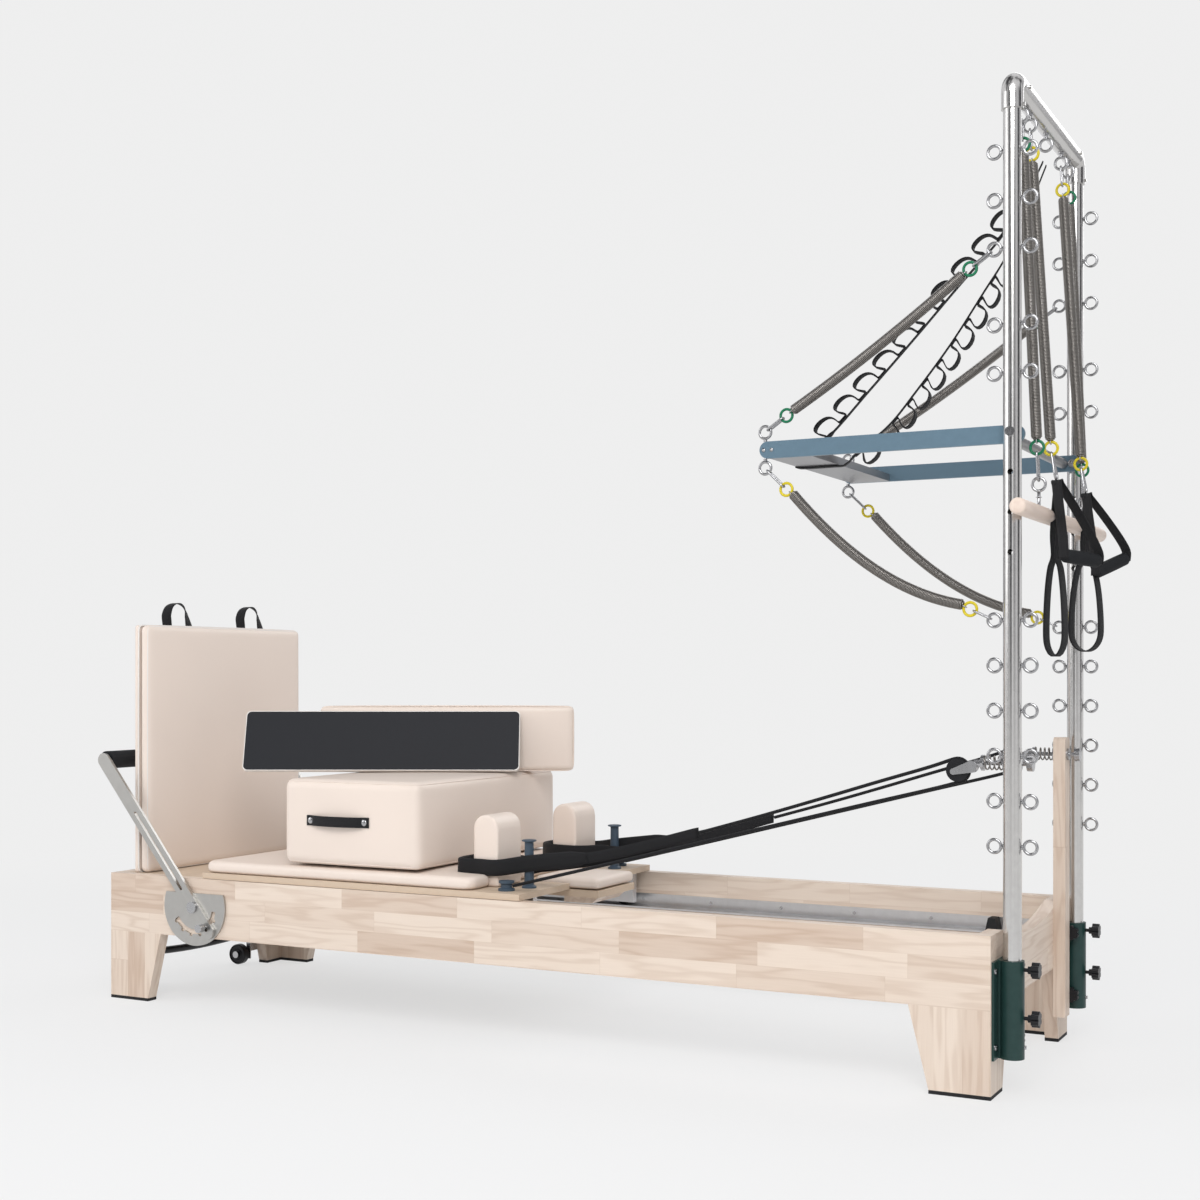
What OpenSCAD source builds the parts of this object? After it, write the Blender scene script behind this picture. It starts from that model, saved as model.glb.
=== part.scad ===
// Pilates reformer with a half tower, its springs, straps, boards and sitting box.
// X runs along the frame towards the tower, Y across it, Z up. The floor is z = 0.

/* [Frame] */
// Length of the wooden frame
frame_l = 2400; // [2300:10:2500]
// Width of the wooden frame
frame_w = 720; // [680:5:760]
// Height of the top of the side rails
rail_top = 338; // [330:1:350]
// Height of the side rail boards
rail_h = 155; // [140:1:165]
// Thickness of the frame boards
board_t = 32; // [28:1:36]
// Width of a leg along the frame, at its top
leg_l = 175; // [150:5:190]
// Width of a leg across the frame
leg_w = 140; // [120:5:150]
// How much a leg narrows towards the floor
leg_taper = 44; // [20:1:60]
// Thickness of a foot pad
pad_t = 8; // [5:1:12]
// Length of the board that covers the foot end
platform_l = 300; // [250:5:315]

/* [Carriage track] */
// Height of the running face of the track
track_z = 250; // [245:1:258]
// Width of the running face
track_w = 50; // [44:1:56]
// Thickness of the track's two legs
track_t = 4; // [3:0.5:5]
// Distance between track screws
screw_pitch = 200; // [150:10:300]
// Radius of a carriage wheel
wheel_r = 22; // [18:1:24]
// Radius of a wheel's axle
axle_r = 5; // [4:0.5:6]
// Distance of the carriage stops from the head end
stop_in = 165; // [150:1:200]

/* [Carriage] */
// Distance of the deck from the frame's foot end, at rest
deck_in = 314; // [310:1:324]
// Length of the deck
deck_l = 962; // [946:1:976]
// Thickness of the plywood deck
deck_t = 15; // [12:1:18]
// Thickness of the mattress
mattress_t = 35; // [30:1:38]
// Length of the mattress
mattress_l = 827; // [824:1:836]
// Width of a shoulder rest
rest_w = 116; // [100:1:118]
// Depth of a shoulder rest
rest_d = 72; // [60:1:74]
// Height of a shoulder rest above the deck
rest_h = 176; // [150:1:190]
// Width of the headrest
head_w = 200; // [180:2:204]
// How far the headrest reaches past the deck
head_out = 79; // [64:1:89]

/* [Footbar] */
// Distance of the footbar pivot from the frame's foot end
bar_in = 296; // [288:1:300]
// Height of the footbar pivot
bar_pivot_z = 264; // [258:1:268]
// Distance from the pivot to the grip
bar_len = 490; // [470:1:500]
// Lean of the footbar from upright
bar_lean = 39.4; // [38:0.2:44]
// Width of a footbar arm
bar_arm_w = 38; // [34:1:42]
// Radius of the arc that the lock pin travels on
lock_r = 65; // [60:1:68]
// Radius of the foam grip
grip_r = 24; // [20:1:26]

/* [Tower] */
// Radius of an upright
up_r = 19; // [17.5:0.5:20]
// Distance of an upright's axis from the frame's end
up_out = 31; // [29:0.5:34]
// Distance of an upright's axis from the frame's side
up_in = 55; // [50:1:60]
// Height of the crossbar's axis
cross_z = 2104.6; // [2080:1:2130]
// Radius of the crossbar
cross_r = 23; // [21.5:0.5:24]
// Wall of the tubes
tube_wall = 2; // [1.5:0.5:2.5]
// Height of the push-through bar's pivot
push_z = 1377; // [1365:1:1385]
// Distance between the pivot holes in the uprights
hole_pitch = 83; // [75:1:90]
// Distance from the pivot to the front end of the push-through arms
push_len = 572; // [550:1:580]
// Height of a push-through arm
push_h = 38; // [34:1:42]

/* [Fittings] */
// Radius of an eye ring, to the middle of its section
eye_R = 13.7; // [13:0.1:14]
// Radius of an eye ring's section
eye_r = 3.25; // [3:0.05:3.5]
// Radius of the wire of a snap hook
hook_r = 2.5; // [2:0.1:2.8]
// Outer radius of a tower spring
spring_r = 12; // [10:0.5:13]
// Radius of the roll-down bar
dowel_r = 17; // [15:0.5:18]
// Length of the roll-down bar
dowel_l = 826; // [780:2:840]
// Radius of the ropes
rope_r = 4.5; // [3.5:0.5:5]

/* [Boards and cushions] */
// Length of the sitting box along the frame
box_l = 418; // [400:2:440]
// Width of the sitting box across the frame
box_w = 702; // [660:2:706]
// Height of the sitting box
box_h = 223; // [200:1:240]
// Distance of the sitting box from the deck's foot end
box_in = 256; // [246:5:286]
// Width of the jump board
jump_w = 660; // [620:2:680]
// Height of the jump board
jump_h = 670; // [600:5:700]
// Thickness of the jump board's padding
jump_pad = 38; // [30:1:42]

/* [Hidden] */

// Gap between pieces that move past each other, and between soft pieces
gap = 0.3;
// Radial clearance of a running fit
run = 0.05;
round_fn = 48;
small_fn = 24;
half_w = frame_w / 2;
// Places along the frame, measured from its head end
deck_foot = frame_l - deck_in;
deck_head = deck_foot - deck_l;
mattress_head = deck_foot - mattress_l;
head_end = deck_head - head_out;
bar_pivot = frame_l - bar_in;
box_foot = deck_foot - box_in;
rail_in = half_w - board_t;
rail_bot = rail_top - rail_h;
// The model's middle lies at x = 0: what reaches past the foot end and past the head end
t_wheel_r = 30;
t_wheel_out = 30;
reach_foot = frame_l + t_wheel_out + t_wheel_r;
reach_head = 179.8;
x_mid = (reach_head - reach_foot) / 2;

wood = "#e3c7a4";
steel = "#b9bbbe";
cream = "#e6d3bd";
black = "#1d1f23";
blue = "#7f9db8";
green = "#24443f";
slate = "#3d4b5e";

// Moves what is drawn in the frame's own places to the model's middle
module placed() translate([-x_mid, 0, 0]) children();

// Both sides of the frame, the second one mirrored
module both_sides() {
    children();
    mirror([0, 1, 0]) children();
}

// Points the z axis from a to b
module aim(a, b) {
    d = b - a;
    translate(a) rotate([0, acos(d[2] / norm(d)), atan2(d[1], d[0])]) children();
}

// A round bar along Y, centred at a point
module bar_y(at, r, l, fn = 24) translate(at) rotate([90, 0, 0]) cylinder(r = r, h = l, center = true, $fn = fn);

// A round bar along X that starts at a point
module bar_x(at, r, l, fn = 24) translate(at) rotate([0, 90, 0]) cylinder(r = r, h = l, $fn = fn);

// A ring in the XZ plane
module ring_xz(at, rr, r) translate(at) rotate([90, 0, 0])
    rotate_extrude($fn = round_fn) translate([rr, 0]) circle(r = r, $fn = 16);

// An outline in the XZ plane, given a thickness in Y from y0 to y1
module plate_xz(y0, y1) translate([0, y1, 0]) rotate([90, 0, 0]) linear_extrude(y1 - y0) children();

// Sweeps
function unit(v) = v / norm(v);
function ahead(p, i, closed) = let(n = len(p))
    closed ? unit(p[(i + 1) % n] - p[(i + n - 1) % n])
           : unit(p[min(i + 1, n - 1)] - p[max(i - 1, 0)]);
function disc(r, n) = [for (k = [0:n - 1]) [r * cos(360 * k / n), r * sin(360 * k / n)]];
function strip(t, w) = [[-t / 2, -w / 2], [t / 2, -w / 2], [t / 2, w / 2], [-t / 2, w / 2]];
function ring_at(p, i, ref, shape, closed) = let(t = ahead(p, i, closed),
    n = unit(ref[i] - (ref[i] * t) * t), b = cross(t, n)) [for (s = shape) p[i] + s[0] * n + s[1] * b];

// A section carried along points; ref gives the section's first direction at each point
module sweep(p, ref, shape, closed = false) {
    m = len(shape);
    n = len(p);
    pts = [for (i = [0:n - 1]) each ring_at(p, i, ref, shape, closed)];
    last = closed ? n - 1 : n - 2;
    side = [for (i = [0:last]) for (k = [0:m - 1]) let(a = i * m + k, b = i * m + (k + 1) % m,
        d = ((i + 1) % n) * m + k, c = ((i + 1) % n) * m + (k + 1) % m) each [[a, c, b], [a, d, c]]];
    ends = closed ? [] : [for (k = [1:m - 2]) each
        [[0, k, k + 1], [(n - 1) * m, (n - 1) * m + k + 1, (n - 1) * m + k]]];
    polyhedron(pts, concat(side, ends));
}

// Points along straight legs, with a point every step or so
function legs_of(p, step) = [for (i = [0:len(p) - 2]) let(k = max(1, round(norm(p[i + 1] - p[i]) / step)))
    for (j = [0:k - 1]) p[i] + (p[i + 1] - p[i]) * j / k];
function path_of(p, step) = concat(legs_of(p, step), [p[len(p) - 1]]);

// A round cord through points, with a ring at each
module cord(p, r, sides = 8) sweep(p, [for (q = p) [0.02, 1, 0.03]], disc(r, sides));

// A coil between two points, hanging by sag at its middle, narrower at its ends
curl_rings = 8;
function coil_axis(a, b, sag, t) = a + (b - a) * t - [0, 0, 4 * sag * t * (1 - t)];
function coil_dir(a, b, sag, t) = unit(coil_axis(a, b, sag, t + 0.01) - coil_axis(a, b, sag, t - 0.01));
function coil_side(a, b) = unit(cross(b - a, [0.6, 0.1, 1]));
function coil_out(a, b, sag, turns, i) = let(t = i / (turns * curl_rings), s = coil_side(a, b),
    d = coil_dir(a, b, sag, t), u = unit(cross(d, s)), f = 360 * i / curl_rings) s * cos(f) + u * sin(f);
coil_lead = 0.035;
function coil_pts(a, b, sag, r, turns, hooked) = concat(hooked ? [a] : [], [for (i = [0:turns * curl_rings])
    let(t = i / (turns * curl_rings), lead = hooked ? coil_lead : 0, tt = lead + (1 - 2 * lead) * t,
        q = hooked ? min(1, 0.45 + 8 * min(t, 1 - t)) : 1)
    coil_axis(a, b, sag, tt) + r * q * coil_out(a, b, sag, turns, i)], hooked ? [b] : []);
function coil_refs(a, b, sag, turns, hooked) = let(n = turns * curl_rings, e = hooked ? [coil_side(a, b)] : [])
    concat(e, [for (i = [0:n]) coil_out(a, b, sag, turns, i)], e);
function coil_gap(p, wire) = min([for (i = [1:len(p) - 2 - curl_rings]) norm(p[i + curl_rings] - p[i])]) - 2 * wire;

module coil(a, b, sag, r, wire, turns, hooked = true) {
    p = coil_pts(a, b, sag, r - wire, turns, hooked);
    echo("least gap of a coil to itself", coil_gap(p, wire));
    sweep(p, coil_refs(a, b, sag, turns, hooked), disc(wire, 6));
}

// A padded form: a rounded outline, drawn in between its corners, with a crowned top
corner_n = 3;
function outline_pts(l, w, r, draw) = let(hl = l / 2 - r, hw = w / 2 - r) [
    for (c = [[1, 1, 0], [-1, 1, 90], [-1, -1, 180], [1, -1, 270]]) each concat(
        [for (k = [0:corner_n]) [c[0] * hl + r * cos(c[2] + 90 * k / corner_n),
            c[1] * hw + r * sin(c[2] + 90 * k / corner_n)]],
        [c[2] % 180 == 0 ? [0, c[1] * (w / 2 - draw)] : [c[0] * (l / 2 - draw), 0]])];

// Lies on z = 0 and is t thick at its edge; crown is how much its middle stands higher
module cushion(l, w, t, r, edge, draw, crown) {
    o = outline_pts(l, w, r, draw);
    m = len(o);
    prof = [[edge, 0], [edge * 0.3, edge * 0.3], [0, edge], [0, t - edge], [edge * 0.3, t - edge * 0.3],
        [edge, t], [l * 0.1, t + crown * 0.6], [l * 0.25, t + crown]];
    n = len(prof);
    pts = concat([for (q = prof) for (p = o) [p[0] * (1 - 2 * q[0] / l), p[1] * (1 - 2 * min(q[0], w * 0.28) / w), q[1]]],
        [[0, 0, 0], [0, 0, t + crown]]);
    side = [for (i = [0:n - 2]) for (k = [0:m - 1]) let(a = i * m + k, b = i * m + (k + 1) % m)
        each [[a, a + m, b + m], [a, b + m, b]]];
    caps = [for (k = [0:m - 1]) each [[k, (k + 1) % m, n * m],
        [(n - 1) * m + (k + 1) % m, (n - 1) * m + k, n * m + 1]]];
    polyhedron(pts, concat(side, caps));
}

// Frame
module side_rails() color(wood) placed() both_sides() difference() {
    translate([-frame_l, rail_in, rail_bot]) cube([frame_l, board_t, rail_h]);
    bar_y([-bar_pivot, half_w - board_t / 2, bar_pivot_z], bar_pin_r + run, board_t + 2);
}

// The head end's board has a shallow hollow that the headrest passes over
hollow_r = 2400;
hollow_d = 33;
module end_panels() color(wood) placed() {
    translate([-frame_l, -rail_in, rail_bot]) cube([board_t, 2 * rail_in, rail_h]);
    difference() {
        translate([-board_t, -rail_in, rail_bot]) cube([board_t, 2 * rail_in, rail_h]);
        translate([-board_t - 1, 0, rail_top - hollow_d + hollow_half_r]) rotate([0, 90, 0])
            cylinder(r = hollow_half_r, h = board_t + 2, $fn = 180);
    }
}
hollow_half = 260;
hollow_half_r = (hollow_half * hollow_half + hollow_d * hollow_d) / (2 * hollow_d);

// One leg is a plate along the frame and one across it, each narrowing to the floor
module leg_profile(w) polygon([[0, pad_t], [w - leg_taper, pad_t], [w, rail_bot], [0, rail_bot]]);
module leg() {
    plate_xz(-half_w, -rail_in) leg_profile(leg_l);
    intersection() {
        translate([0, -half_w, 0]) rotate([90, 0, 90]) linear_extrude(board_t) leg_profile(leg_w);
        translate([0, -half_w, 0]) cube([board_t, leg_w, rail_bot]);
    }
}
module at_legs() {
    both_sides() {
        translate([-frame_l, 0, 0]) children();
        mirror([1, 0, 0]) children();
    }
}
module legs() color(wood) placed() at_legs() leg();
module foot_pads() color(black) placed() at_legs() {
    translate([0, -half_w, 0]) cube([leg_l - leg_taper, board_t, pad_t]);
    translate([0, -half_w, 0]) cube([board_t, leg_w - leg_taper, pad_t]);
}

platform_t = 24;
post_r = 10;
post_deep = 50;
jump_x = -frame_l + 55;
jump_ply = 15;
post_y = 230;
module foot_platform() color("#c9a77f") placed() difference() {
    translate([-frame_l + board_t, -rail_in, rail_top - platform_t])
        cube([platform_l - board_t, 2 * rail_in, platform_t]);
    for (s = [-1, 1]) translate([jump_x + jump_ply / 2 + 5, s * post_y, rail_top - platform_t - 1])
        cylinder(r = post_r + gap, h = platform_t + 2, $fn = round_fn);
}

// An angle on each rail: its flat leg carries the wheels
track_up = 30;
module carriage_tracks() color(steel) placed() both_sides() {
    translate([-frame_l + board_t, rail_in - track_w, track_z - track_t])
        cube([frame_l - 2 * board_t, track_w, track_t]);
    translate([-frame_l + board_t, rail_in - track_t, track_z])
        cube([frame_l - 2 * board_t, track_t, track_up]);
}
screw_r = 4.5;
screw_h = 2;
screw_n = floor((frame_l - 2 * board_t - 60) / screw_pitch);
module track_screws() color(steel) placed() both_sides() for (i = [0:screw_n])
    bar_y([-frame_l + board_t + 40 + i * screw_pitch, rail_in - track_t - screw_h / 2, track_z + track_up / 2],
        screw_r, screw_h);

stop_w = 32;
stop_h = 31;
module carriage_stops() color(black) placed() both_sides()
    translate([-stop_in - stop_w / 2, rail_in - track_t - gap, track_z]) rotate([90, 0, 0])
        linear_extrude(track_w - track_t - 6)
            polygon([[0, 0], [stop_w, 0], [stop_w - 7, stop_h], [7, stop_h]]);

// The bar that the carriage springs hook over, on two plates
sbar_x = -frame_l + 322;
sbar_w = 24;
sbar_z = 290;
module spring_bar() color(steel) placed() {
    difference() {
        translate([sbar_x, -rail_in, sbar_z]) cube([sbar_w, 2 * rail_in, sbar_w]);
        translate([sbar_x + 2, -rail_in + 6, sbar_z + 2]) cube([sbar_w - 4, 2 * rail_in - 12, sbar_w - 4]);
    }
}

// Transport wheels on brackets at the foot end's legs
t_wheel_w = 24;
t_wheel_y = 208;
t_axle_r = 6;
module wheel_brackets() color(steel) placed() both_sides() {
    translate([-frame_l - 4, -half_w + 70, 40]) cube([4, half_w - 70 - t_wheel_y - t_wheel_w / 2 - 2, 56]);
    plate_xz(-t_wheel_y - t_wheel_w / 2 - 6, -t_wheel_y - t_wheel_w / 2 - 2) difference() {
        union() {
            translate([-frame_l - t_wheel_out, t_wheel_r + 1]) circle(r = 14, $fn = round_fn);
            translate([-frame_l - t_wheel_out, t_wheel_r - 13]) square([t_wheel_out, 28]);
            translate([-frame_l - 14, t_wheel_r - 13]) square([14, 78]);
        }
    }
    bar_y([-frame_l - t_wheel_out, -t_wheel_y - 1, t_wheel_r + 1], t_axle_r, t_wheel_w + 8);
    bar_y([-frame_l - t_wheel_out, -t_wheel_y + t_wheel_w / 2 + 4, t_wheel_r + 1], t_axle_r + 4, 4);
}
module transport_wheel() translate([-frame_l - t_wheel_out, -t_wheel_y, t_wheel_r + 1]) rotate([90, 0, 0])
    rotate_extrude($fn = 64) polygon([[t_axle_r + run, -t_wheel_w / 2 + 1], [14, -t_wheel_w / 2 + 1],
        [17, -t_wheel_w / 2 + 4], [25, -t_wheel_w / 2 + 4], [28, -t_wheel_w / 2], [t_wheel_r, -t_wheel_w / 2 + 4],
        [t_wheel_r, t_wheel_w / 2 - 4], [28, t_wheel_w / 2], [25, t_wheel_w / 2 - 4], [17, t_wheel_w / 2 - 4],
        [14, t_wheel_w / 2 - 1], [t_axle_r + run, t_wheel_w / 2 - 1]]);
module transport_wheel_near() color(black) placed() transport_wheel();
module transport_wheel_far() color(black) placed() mirror([0, 1, 0]) transport_wheel();

// A bowed tube between the legs of the foot end, used to lift the frame
tube_r = 10;
tube_bow = 14;
tube_half = half_w - leg_w + leg_taper;
tube_bow_r = (tube_half * tube_half + tube_bow * tube_bow) / (2 * tube_bow);
tube_x = -frame_l + board_t / 2;
tube_z = 95;
module stretcher_tube() color(black) placed() difference() {
    intersection() {
        translate([tube_x, 0, tube_z + tube_bow_r]) rotate([0, 90, 0])
            rotate_extrude($fn = 720) translate([tube_bow_r, 0]) circle(r = tube_r, $fn = 24);
        translate([tube_x - 2 * tube_r, -tube_half, 40]) cube([4 * tube_r, 2 * tube_half, 120]);
    }
    at_legs() leg();
}

// Footbar
plate_r = 102;
plate_t = 6;
plate_up = 36;
slot_w = 13;
bar_pin_r = 8;
bar_arm_t = 8;
arm_y = half_w + plate_t + gap;
slot_from = -62;
slot_to = 82;
notch_pitch = 24;
// How far the lock pin drops into a notch
lock_in = 8;
lock_pin_r = 5;
module slot_arc(a0, a1, r, w) {
    intersection() {
        difference() {
            circle(r = r + w / 2, $fn = 96);
            circle(r = r - w / 2, $fn = 96);
        }
        polygon([[0, 0], for (a = [a0:(a1 - a0) / 8:a1 + 0.01]) [2 * r * sin(a), -2 * r * cos(a)]]);
    }
}
module footbar_plates() color(steel) placed() both_sides() plate_xz(-half_w - plate_t, -half_w)
    translate([-bar_pivot, bar_pivot_z]) difference() {
        intersection() {
            circle(r = plate_r, $fn = 128);
            translate([-plate_r, -plate_r]) square([2 * plate_r, plate_r + plate_up]);
        }
        slot_arc(slot_from, slot_to, lock_r, slot_w);
        for (k = [-4:1]) rotate([0, 0, bar_lean + k * notch_pitch])
            translate([-lock_pin_r - gap, -lock_r - lock_in]) {
                square([2 * (lock_pin_r + gap), lock_in]);
                translate([lock_pin_r + gap, 0]) circle(r = lock_pin_r + gap, $fn = small_fn);
            }
        circle(r = bar_pin_r + run, $fn = round_fn);
    }
module footbar_pivots() color(steel) placed() both_sides() {
    bar_y([-bar_pivot, -(rail_in + 2 + arm_y + bar_arm_t + gap) / 2, bar_pivot_z], bar_pin_r,
        arm_y + bar_arm_t + gap - rail_in - 2, round_fn);
    bar_y([-bar_pivot, -arm_y - bar_arm_t - gap - 2.5, bar_pivot_z], 15, 5, round_fn);
}
module in_bar_lean() translate([-bar_pivot, 0, bar_pivot_z]) rotate([0, -bar_lean, 0]) children();
module footbar_arms() color(steel) placed() in_bar_lean() both_sides() difference() {
    translate([0, -arm_y, 0]) rotate([90, 0, 0]) linear_extrude(bar_arm_t) difference() {
        union() {
            translate([-bar_arm_w / 2, -lock_r - 14]) square([bar_arm_w, bar_len + lock_r + 14]);
            translate([0, bar_len]) circle(r = bar_arm_w / 2, $fn = round_fn);
            translate([0, -lock_r - 14]) circle(r = bar_arm_w / 2, $fn = round_fn);
        }
        circle(r = bar_pin_r + run, $fn = round_fn);
        for (z = [-lock_r, -lock_r - lock_in]) translate([0, z]) circle(r = lock_pin_r + run, $fn = round_fn);
        translate([-lock_pin_r - run, -lock_r - lock_in]) square([2 * (lock_pin_r + run), lock_in]);
        translate([-4, 60]) square([8, 250]);
        for (z = [60, 310]) translate([0, z]) circle(r = 4, $fn = small_fn);
    }
}
module footbar_grip() color(black) placed() in_bar_lean() {
    bar_y([0, 0, bar_len], grip_r, 2 * arm_y - 8, 64);
    for (s = [-1, 1]) bar_y([0, s * (arm_y - 2), bar_len], 12, 4, round_fn);
}
module footbar_lock_pin() color(steel) placed() in_bar_lean() {
    bar_y([0, -half_w - 1 - (bar_arm_t + plate_t) / 2 - 6, -lock_r], lock_pin_r, plate_t + bar_arm_t + 12, round_fn);
    bar_y([0, -arm_y - bar_arm_t - 18, -lock_r], 11, 16, round_fn);
}

// Tower
up_x = up_out;
up_y = half_w - up_in;
sleeve_bot = cross_z - 58.6;
bracket_bot = 80;
bracket_top = 283;
bracket_R = 25;
elbow_r = cross_r + 3;
up_top = cross_z - elbow_r;
push_pin_r = 6;
hole_zs = [for (i = [0:3]) push_z - i * hole_pitch];
module tower_uprights() color(steel) placed() both_sides() difference() {
    translate([up_x, -up_y, bracket_bot]) cylinder(r = up_r, h = up_top - bracket_bot, $fn = 64);
    translate([up_x, -up_y, bracket_bot - 1]) cylinder(r = up_r - tube_wall, h = up_top - bracket_bot + 2, $fn = 64);
    for (z = hole_zs) bar_y([up_x, -up_y, z], push_pin_r + run, 3 * up_r, round_fn);
}
module tower_crossbar() color(steel) placed() {
    difference() {
        union() {
            bar_y([up_x, 0, cross_z], cross_r, 2 * (up_y - elbow_r) + 0.02, 64);
            both_sides() {
                translate([up_x, -up_y + elbow_r, cross_z - elbow_r]) rotate([0, -90, 180]) intersection() {
                    rotate_extrude($fn = 64) translate([elbow_r, 0]) circle(r = cross_r, $fn = 48);
                    translate([0, 0, -cross_r]) cube([3 * elbow_r, 3 * elbow_r, 2 * cross_r]);
                }
                translate([up_x, -up_y, sleeve_bot]) cylinder(r = cross_r, h = cross_z - elbow_r - sleeve_bot + 0.02, $fn = 64);
            }
        }
        both_sides() translate([up_x, -up_y, sleeve_bot - 1]) cylinder(r = up_r, h = up_top - sleeve_bot + 1, $fn = 64);
    }
    both_sides() {
        bar_x([up_x + cross_r - 1, -up_y, sleeve_bot + 8], 4, 5);
        bar_x([up_x + cross_r - 1, -up_y + 52, cross_z], 4, 6);
    }
}

// Heights of the eyes on the uprights, and places of those under the crossbar
eye_zs = [518, 612, 706, 800, 894, 988, 1501, 1602, 1760, 1861, 1962];
eye_out = 37.5;
cross_eyes = [-226, -151, 0, 151, 226];
cross_eye_z = cross_z - cross_r - 8 - eye_R - eye_r;
module eye_bolt() {
    ring_xz([eye_out, 0, 0], eye_R, eye_r);
    bar_x([up_r, 0, 0], 5, 3);
    bar_x([up_r, 0, 0], 3.5, eye_out - eye_R - up_r + 1);
}
module tower_eyebolts() color(steel) placed() {
    both_sides() for (z = eye_zs) translate([up_x, -up_y, z]) {
        eye_bolt();
        mirror([1, 0, 0]) eye_bolt();
    }
    for (y = cross_eyes) {
        ring_xz([up_x, y, cross_eye_z], eye_R, eye_r);
        translate([up_x, y, cross_eye_z + eye_R]) cylinder(r = 4, h = cross_z - cross_r - cross_eye_z - eye_R, $fn = 24);
        translate([up_x, y, cross_z - cross_r - 3]) cylinder(r = 7, h = 3, $fn = 24);
    }
}

// Brackets that hold the uprights on the frame's end
flange_w = 96;
flange_t = 5;
module tower_brackets() color(green) placed() both_sides() difference() {
    union() {
        translate([up_x, -up_y, bracket_bot]) cylinder(r = bracket_R, h = bracket_top - bracket_bot, $fn = 64);
        translate([0, -up_y - flange_w / 2, bracket_bot]) cube([flange_t, flange_w, bracket_top - bracket_bot]);
        translate([0, -up_y - 12, bracket_bot]) cube([up_x, 24, bracket_top - bracket_bot]);
    }
    translate([up_x, -up_y, bracket_bot - 1]) cylinder(r = up_r, h = bracket_top - bracket_bot + 2, $fn = 64);
}
module bracket_bolts() color(steel) placed() both_sides() {
    for (z = [263, 107]) for (s = [-1, 1]) bar_x([flange_t, -up_y + s * (flange_w / 2 - 9), z], 6, 4);
    bar_x([up_x + bracket_R, -up_y, 105], 4, 4);
}
// A star knob: a hub with lobes round it, on a threaded stem
knob_r = 17;
module star_knob(stem) {
    bar_x([0, 0, 0], 4, stem + 2);
    translate([stem, 0, 0]) rotate([0, 90, 0]) linear_extrude(16) difference() {
        union() {
            circle(r = knob_r - 5, $fn = round_fn);
            for (k = [0:5]) rotate([0, 0, k * 60]) translate([knob_r - 6, 0]) circle(r = 6, $fn = small_fn);
        }
    }
    bar_x([stem / 2, 0, 0], 8, stem / 2 + 1);
}
knob_stem = 16;
knob_stem_in = 6;
module bracket_knobs() color(black) placed() both_sides() {
    for (z = [265, 165]) translate([up_x + bracket_R, -up_y, z]) star_knob(knob_stem);
    for (z = [262, 115]) translate([up_x, -up_y + bracket_R, z]) rotate([0, 0, 90]) star_knob(knob_stem_in);
}

// Pulleys on wooden posts at the head end
post_w = 46;
post_t = 28;
post_y0 = 210;
post_bot = 70;
post_top = 727;
pulley_y = post_y0 + post_w / 2;
rod_z = 687;
rod_r = 5;
pulley_x = -103.5;
pulley_z = 670;
pulley_r = 25;
pulley_w = 12;
pulley_pin = 4;
module pulley_posts() color(wood) placed() both_sides() difference() {
    union() {
        translate([0, -post_y0 - post_w, post_bot]) cube([post_t, post_w, post_top - 12 - post_bot]);
        translate([0, -post_y0 - post_w + 12, post_bot]) cube([post_t, post_w - 24, post_top - post_bot]);
        for (s = [-1, 1]) bar_x([0, -pulley_y + s * (post_w / 2 - 12), post_top - 12], 12, post_t, round_fn);
    }
    bar_x([-1, -pulley_y, rod_z], rod_r, post_t + 2, round_fn);
}
fork_t = 3;
fork_a = [pulley_x - 8, pulley_z - 3];
fork_b = [pulley_x + 30, pulley_z + 8];
fork_ra = 7;
fork_rb = 13;
module fork_plate() {
    turn = atan2(fork_b[1] - fork_a[1], fork_b[0] - fork_a[0]);
    open = acos((fork_rb - fork_ra) / norm(fork_b - fork_a));
    n = [cos(turn + open), sin(turn + open)];
    m = [cos(turn - open), sin(turn - open)];
    translate(fork_a) circle(r = fork_ra, $fn = 32);
    translate(fork_b) circle(r = fork_rb, $fn = 32);
    polygon([fork_a + fork_ra * n, fork_b + fork_rb * n, fork_b + fork_rb * m, fork_a + fork_ra * m]);
}
module pulley_rods() color(steel) placed() both_sides() {
    bar_x([-46, -pulley_y, rod_z], rod_r, post_t + 46 + 22, round_fn);
    bar_x([-52, -pulley_y, rod_z], 17, 6, round_fn);
    bar_x([-4, -pulley_y, rod_z], 18, 4, round_fn);
    bar_x([post_t, -pulley_y, rod_z], 14, 5, round_fn);
    bar_x([post_t + 18, -pulley_y, rod_z], 16, 12, round_fn);
    bar_x([-68, -pulley_y, rod_z - 2], 8.2, 17, round_fn);
    for (s = [-1, 1]) plate_xz(-pulley_y + s * (pulley_w / 2 + 1 + fork_t / 2) - fork_t / 2,
        -pulley_y + s * (pulley_w / 2 + 1 + fork_t / 2) + fork_t / 2) fork_plate();
    bar_y([pulley_x, -pulley_y, pulley_z], pulley_pin, pulley_w + 2 * fork_t + 4, round_fn);
    translate([pulley_x + 30, -pulley_y - pulley_w / 2 - 1.5, pulley_z]) cube([12, pulley_w + 3, 16]);
}
pcoil_r = 16;
pwire_r = 1.6;
module pulley_springs() color(steel) placed() both_sides()
    coil([-46 + pwire_r + gap, -pulley_y, rod_z], [-4 - pwire_r - gap, -pulley_y, rod_z], 0, pcoil_r, pwire_r, 3, false);
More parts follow.
